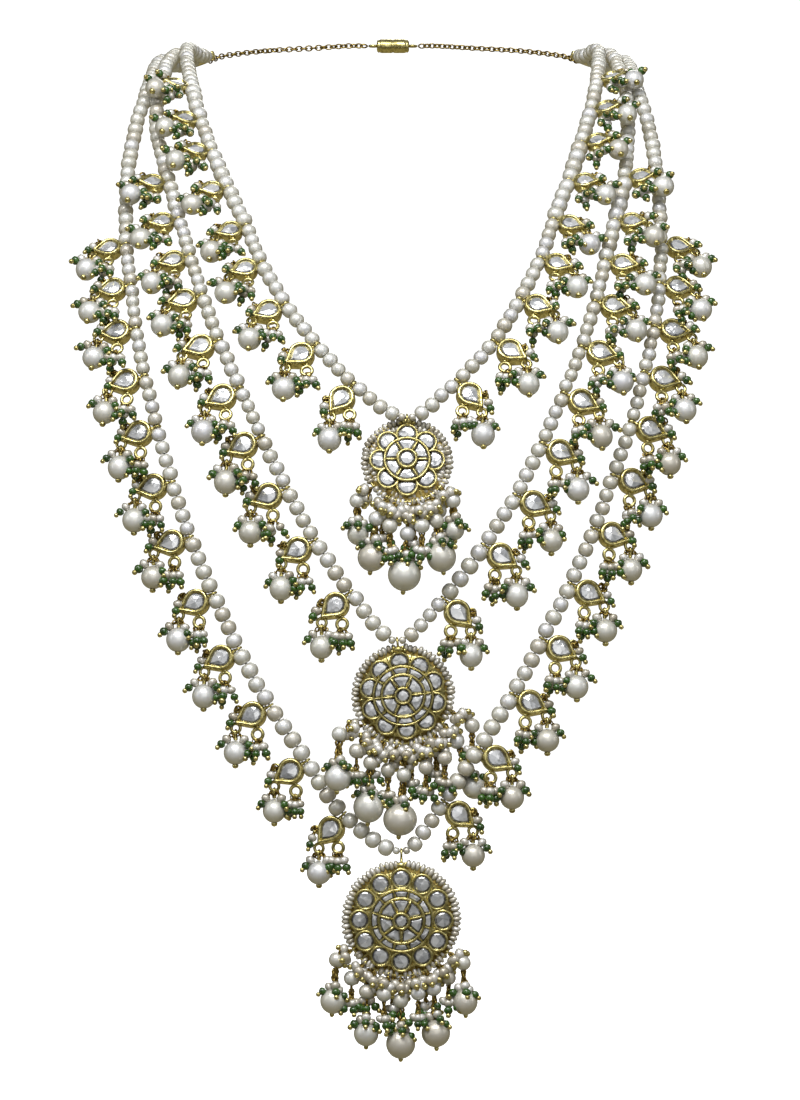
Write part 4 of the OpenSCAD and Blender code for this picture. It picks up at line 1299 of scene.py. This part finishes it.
# %% End bars
BAR_OUTLINE = [(-7, 0.2), (7, 0.2), (7, 2.2), (1.8, 10.4), (-1.8, 10.4), (-7, 2.2)]
BAR_RING_AT, BAR_RING = 11.3, (1.3, 0.45)
BAR_ROWS = [(0, 0, -1.2), (1, -0.4, -1.2), (1, -0.12, -1.1), (1, 0, -0.8), (1, 0, 0.8), (1, -0.12, 1.1),
            (1, -0.4, 1.2), (1, -0.9, 1.2), (1, -1.1, 0.95), (0, 0, 0.95)]


def finer(corners, steps=6):
    """A polygon with each side cut into equal steps, and its corners a little round."""
    corners = np.asarray(corners, float)
    share = (np.arange(steps) / steps)[None, :, None]
    points = (corners[:, None] * (1 - share) + np.roll(corners, -1, 0)[:, None] * share).reshape(-1, 2)
    return (np.roll(points, 1, 0) + 2 * points + np.roll(points, -1, 0)) / 4


CHAIN_START = 14.4
NAPE = np.array([(57, 53, 3), (44, 61, 5.5), (28, 66, 7), (15, 68, 8), (8.6, 68.4, 8)], float)
CHAIN_RING, CHAIN_PITCH = (1.1, 0.3), 1.72
chain_link = ring(*CHAIN_RING, 12, 6)
for side, name in ((-1, "left"), (1, "right")):
    middle, axis, row = bar_frame(side)
    frame_rows = np.stack([row, axis, np.cross(row, axis)])
    bar = in_frame(whole(stacked(finer(BAR_OUTLINE), BAR_ROWS)), middle, frame_rows)
    loop = in_frame(whole(ring(*BAR_RING, 20, 8)), middle + BAR_RING_AT * axis, frame_rows)
    ends = middle + STRAND_PITCH * np.array([-1, 0, 1])[:, None] * row
    eyes = copies(ring(0.9, 0.3, 12, 6), ends - 0.3 * axis, frames_along(np.tile(row, (3, 1)), axis),
                  1.0, EVEN_TINT)
    add_piece("bar_" + name, [bar, loop, eyes], gold, NECKLACE, ["end_bar_" + name])
    places, _ = curve(np.vstack([middle + CHAIN_START * axis, NAPE * [side, 1, 1]]))
    along = lengths(places)
    count = int((along[-1] - 0.8) / CHAIN_PITCH)
    spots, heading = at_length(places, along, 0.4 + CHAIN_PITCH * (np.arange(count) + 0.5))
    level_axes = frames_along(heading)
    odd = (np.arange(count) % 2 == 1)[:, None]
    up = np.where(odd, level_axes[:, 0], level_axes[:, 1])
    links = copies(chain_link, spots, axes_of(heading, np.cross(up, heading), up), [[1.06, 0.8, 1.0]])
    add_piece("chain_" + name, [links], wire_gold, NECKLACE, ["nape_chain_" + name])
    print(name, "chain:", count, "links")

# %% Clasp
CLASP_AT, CLASP_R, CLASP_HALF = (0, 68.4, 8), 2.4, 5.5
half_length = [(0, 0), (0.6, 0), (0.82, 0.04), (0.95, 0.1), (0.88, 0.16), (0.93, 0.2), (1, 0.3),
               (1, 0.9), (0.96, 0.94)]
groove = [(r * CLASP_R, -CLASP_HALF + z * CLASP_HALF) for r, z in half_length]
groove += [(0.9 * CLASP_R, 0)] + [(r, -z) for r, z in reversed(groove)]
middle, clasp_rows = np.array(CLASP_AT, float), np.array([[0, 1.0, 0], [0, 0, 1.0], [1.0, 0, 0]])
barrel = in_frame(whole(turned(groove, 24)), middle, clasp_rows)
eye_at = NAPE[-1][0] - 1.9
eyes = [in_frame(whole(ring(1.25, 0.45, 16, 8)), middle + [s * eye_at, 0, 0], np.eye(3)) for s in (-1, 1)]
add_piece("barrel_clasp", [barrel] + eyes, gold, NECKLACE, ["clasp"])

# %% [markdown]
# ## Triangles
# Each piece's triangles are counted, and their sum is printed.

print(made)
print("triangles", sum(made.values()))
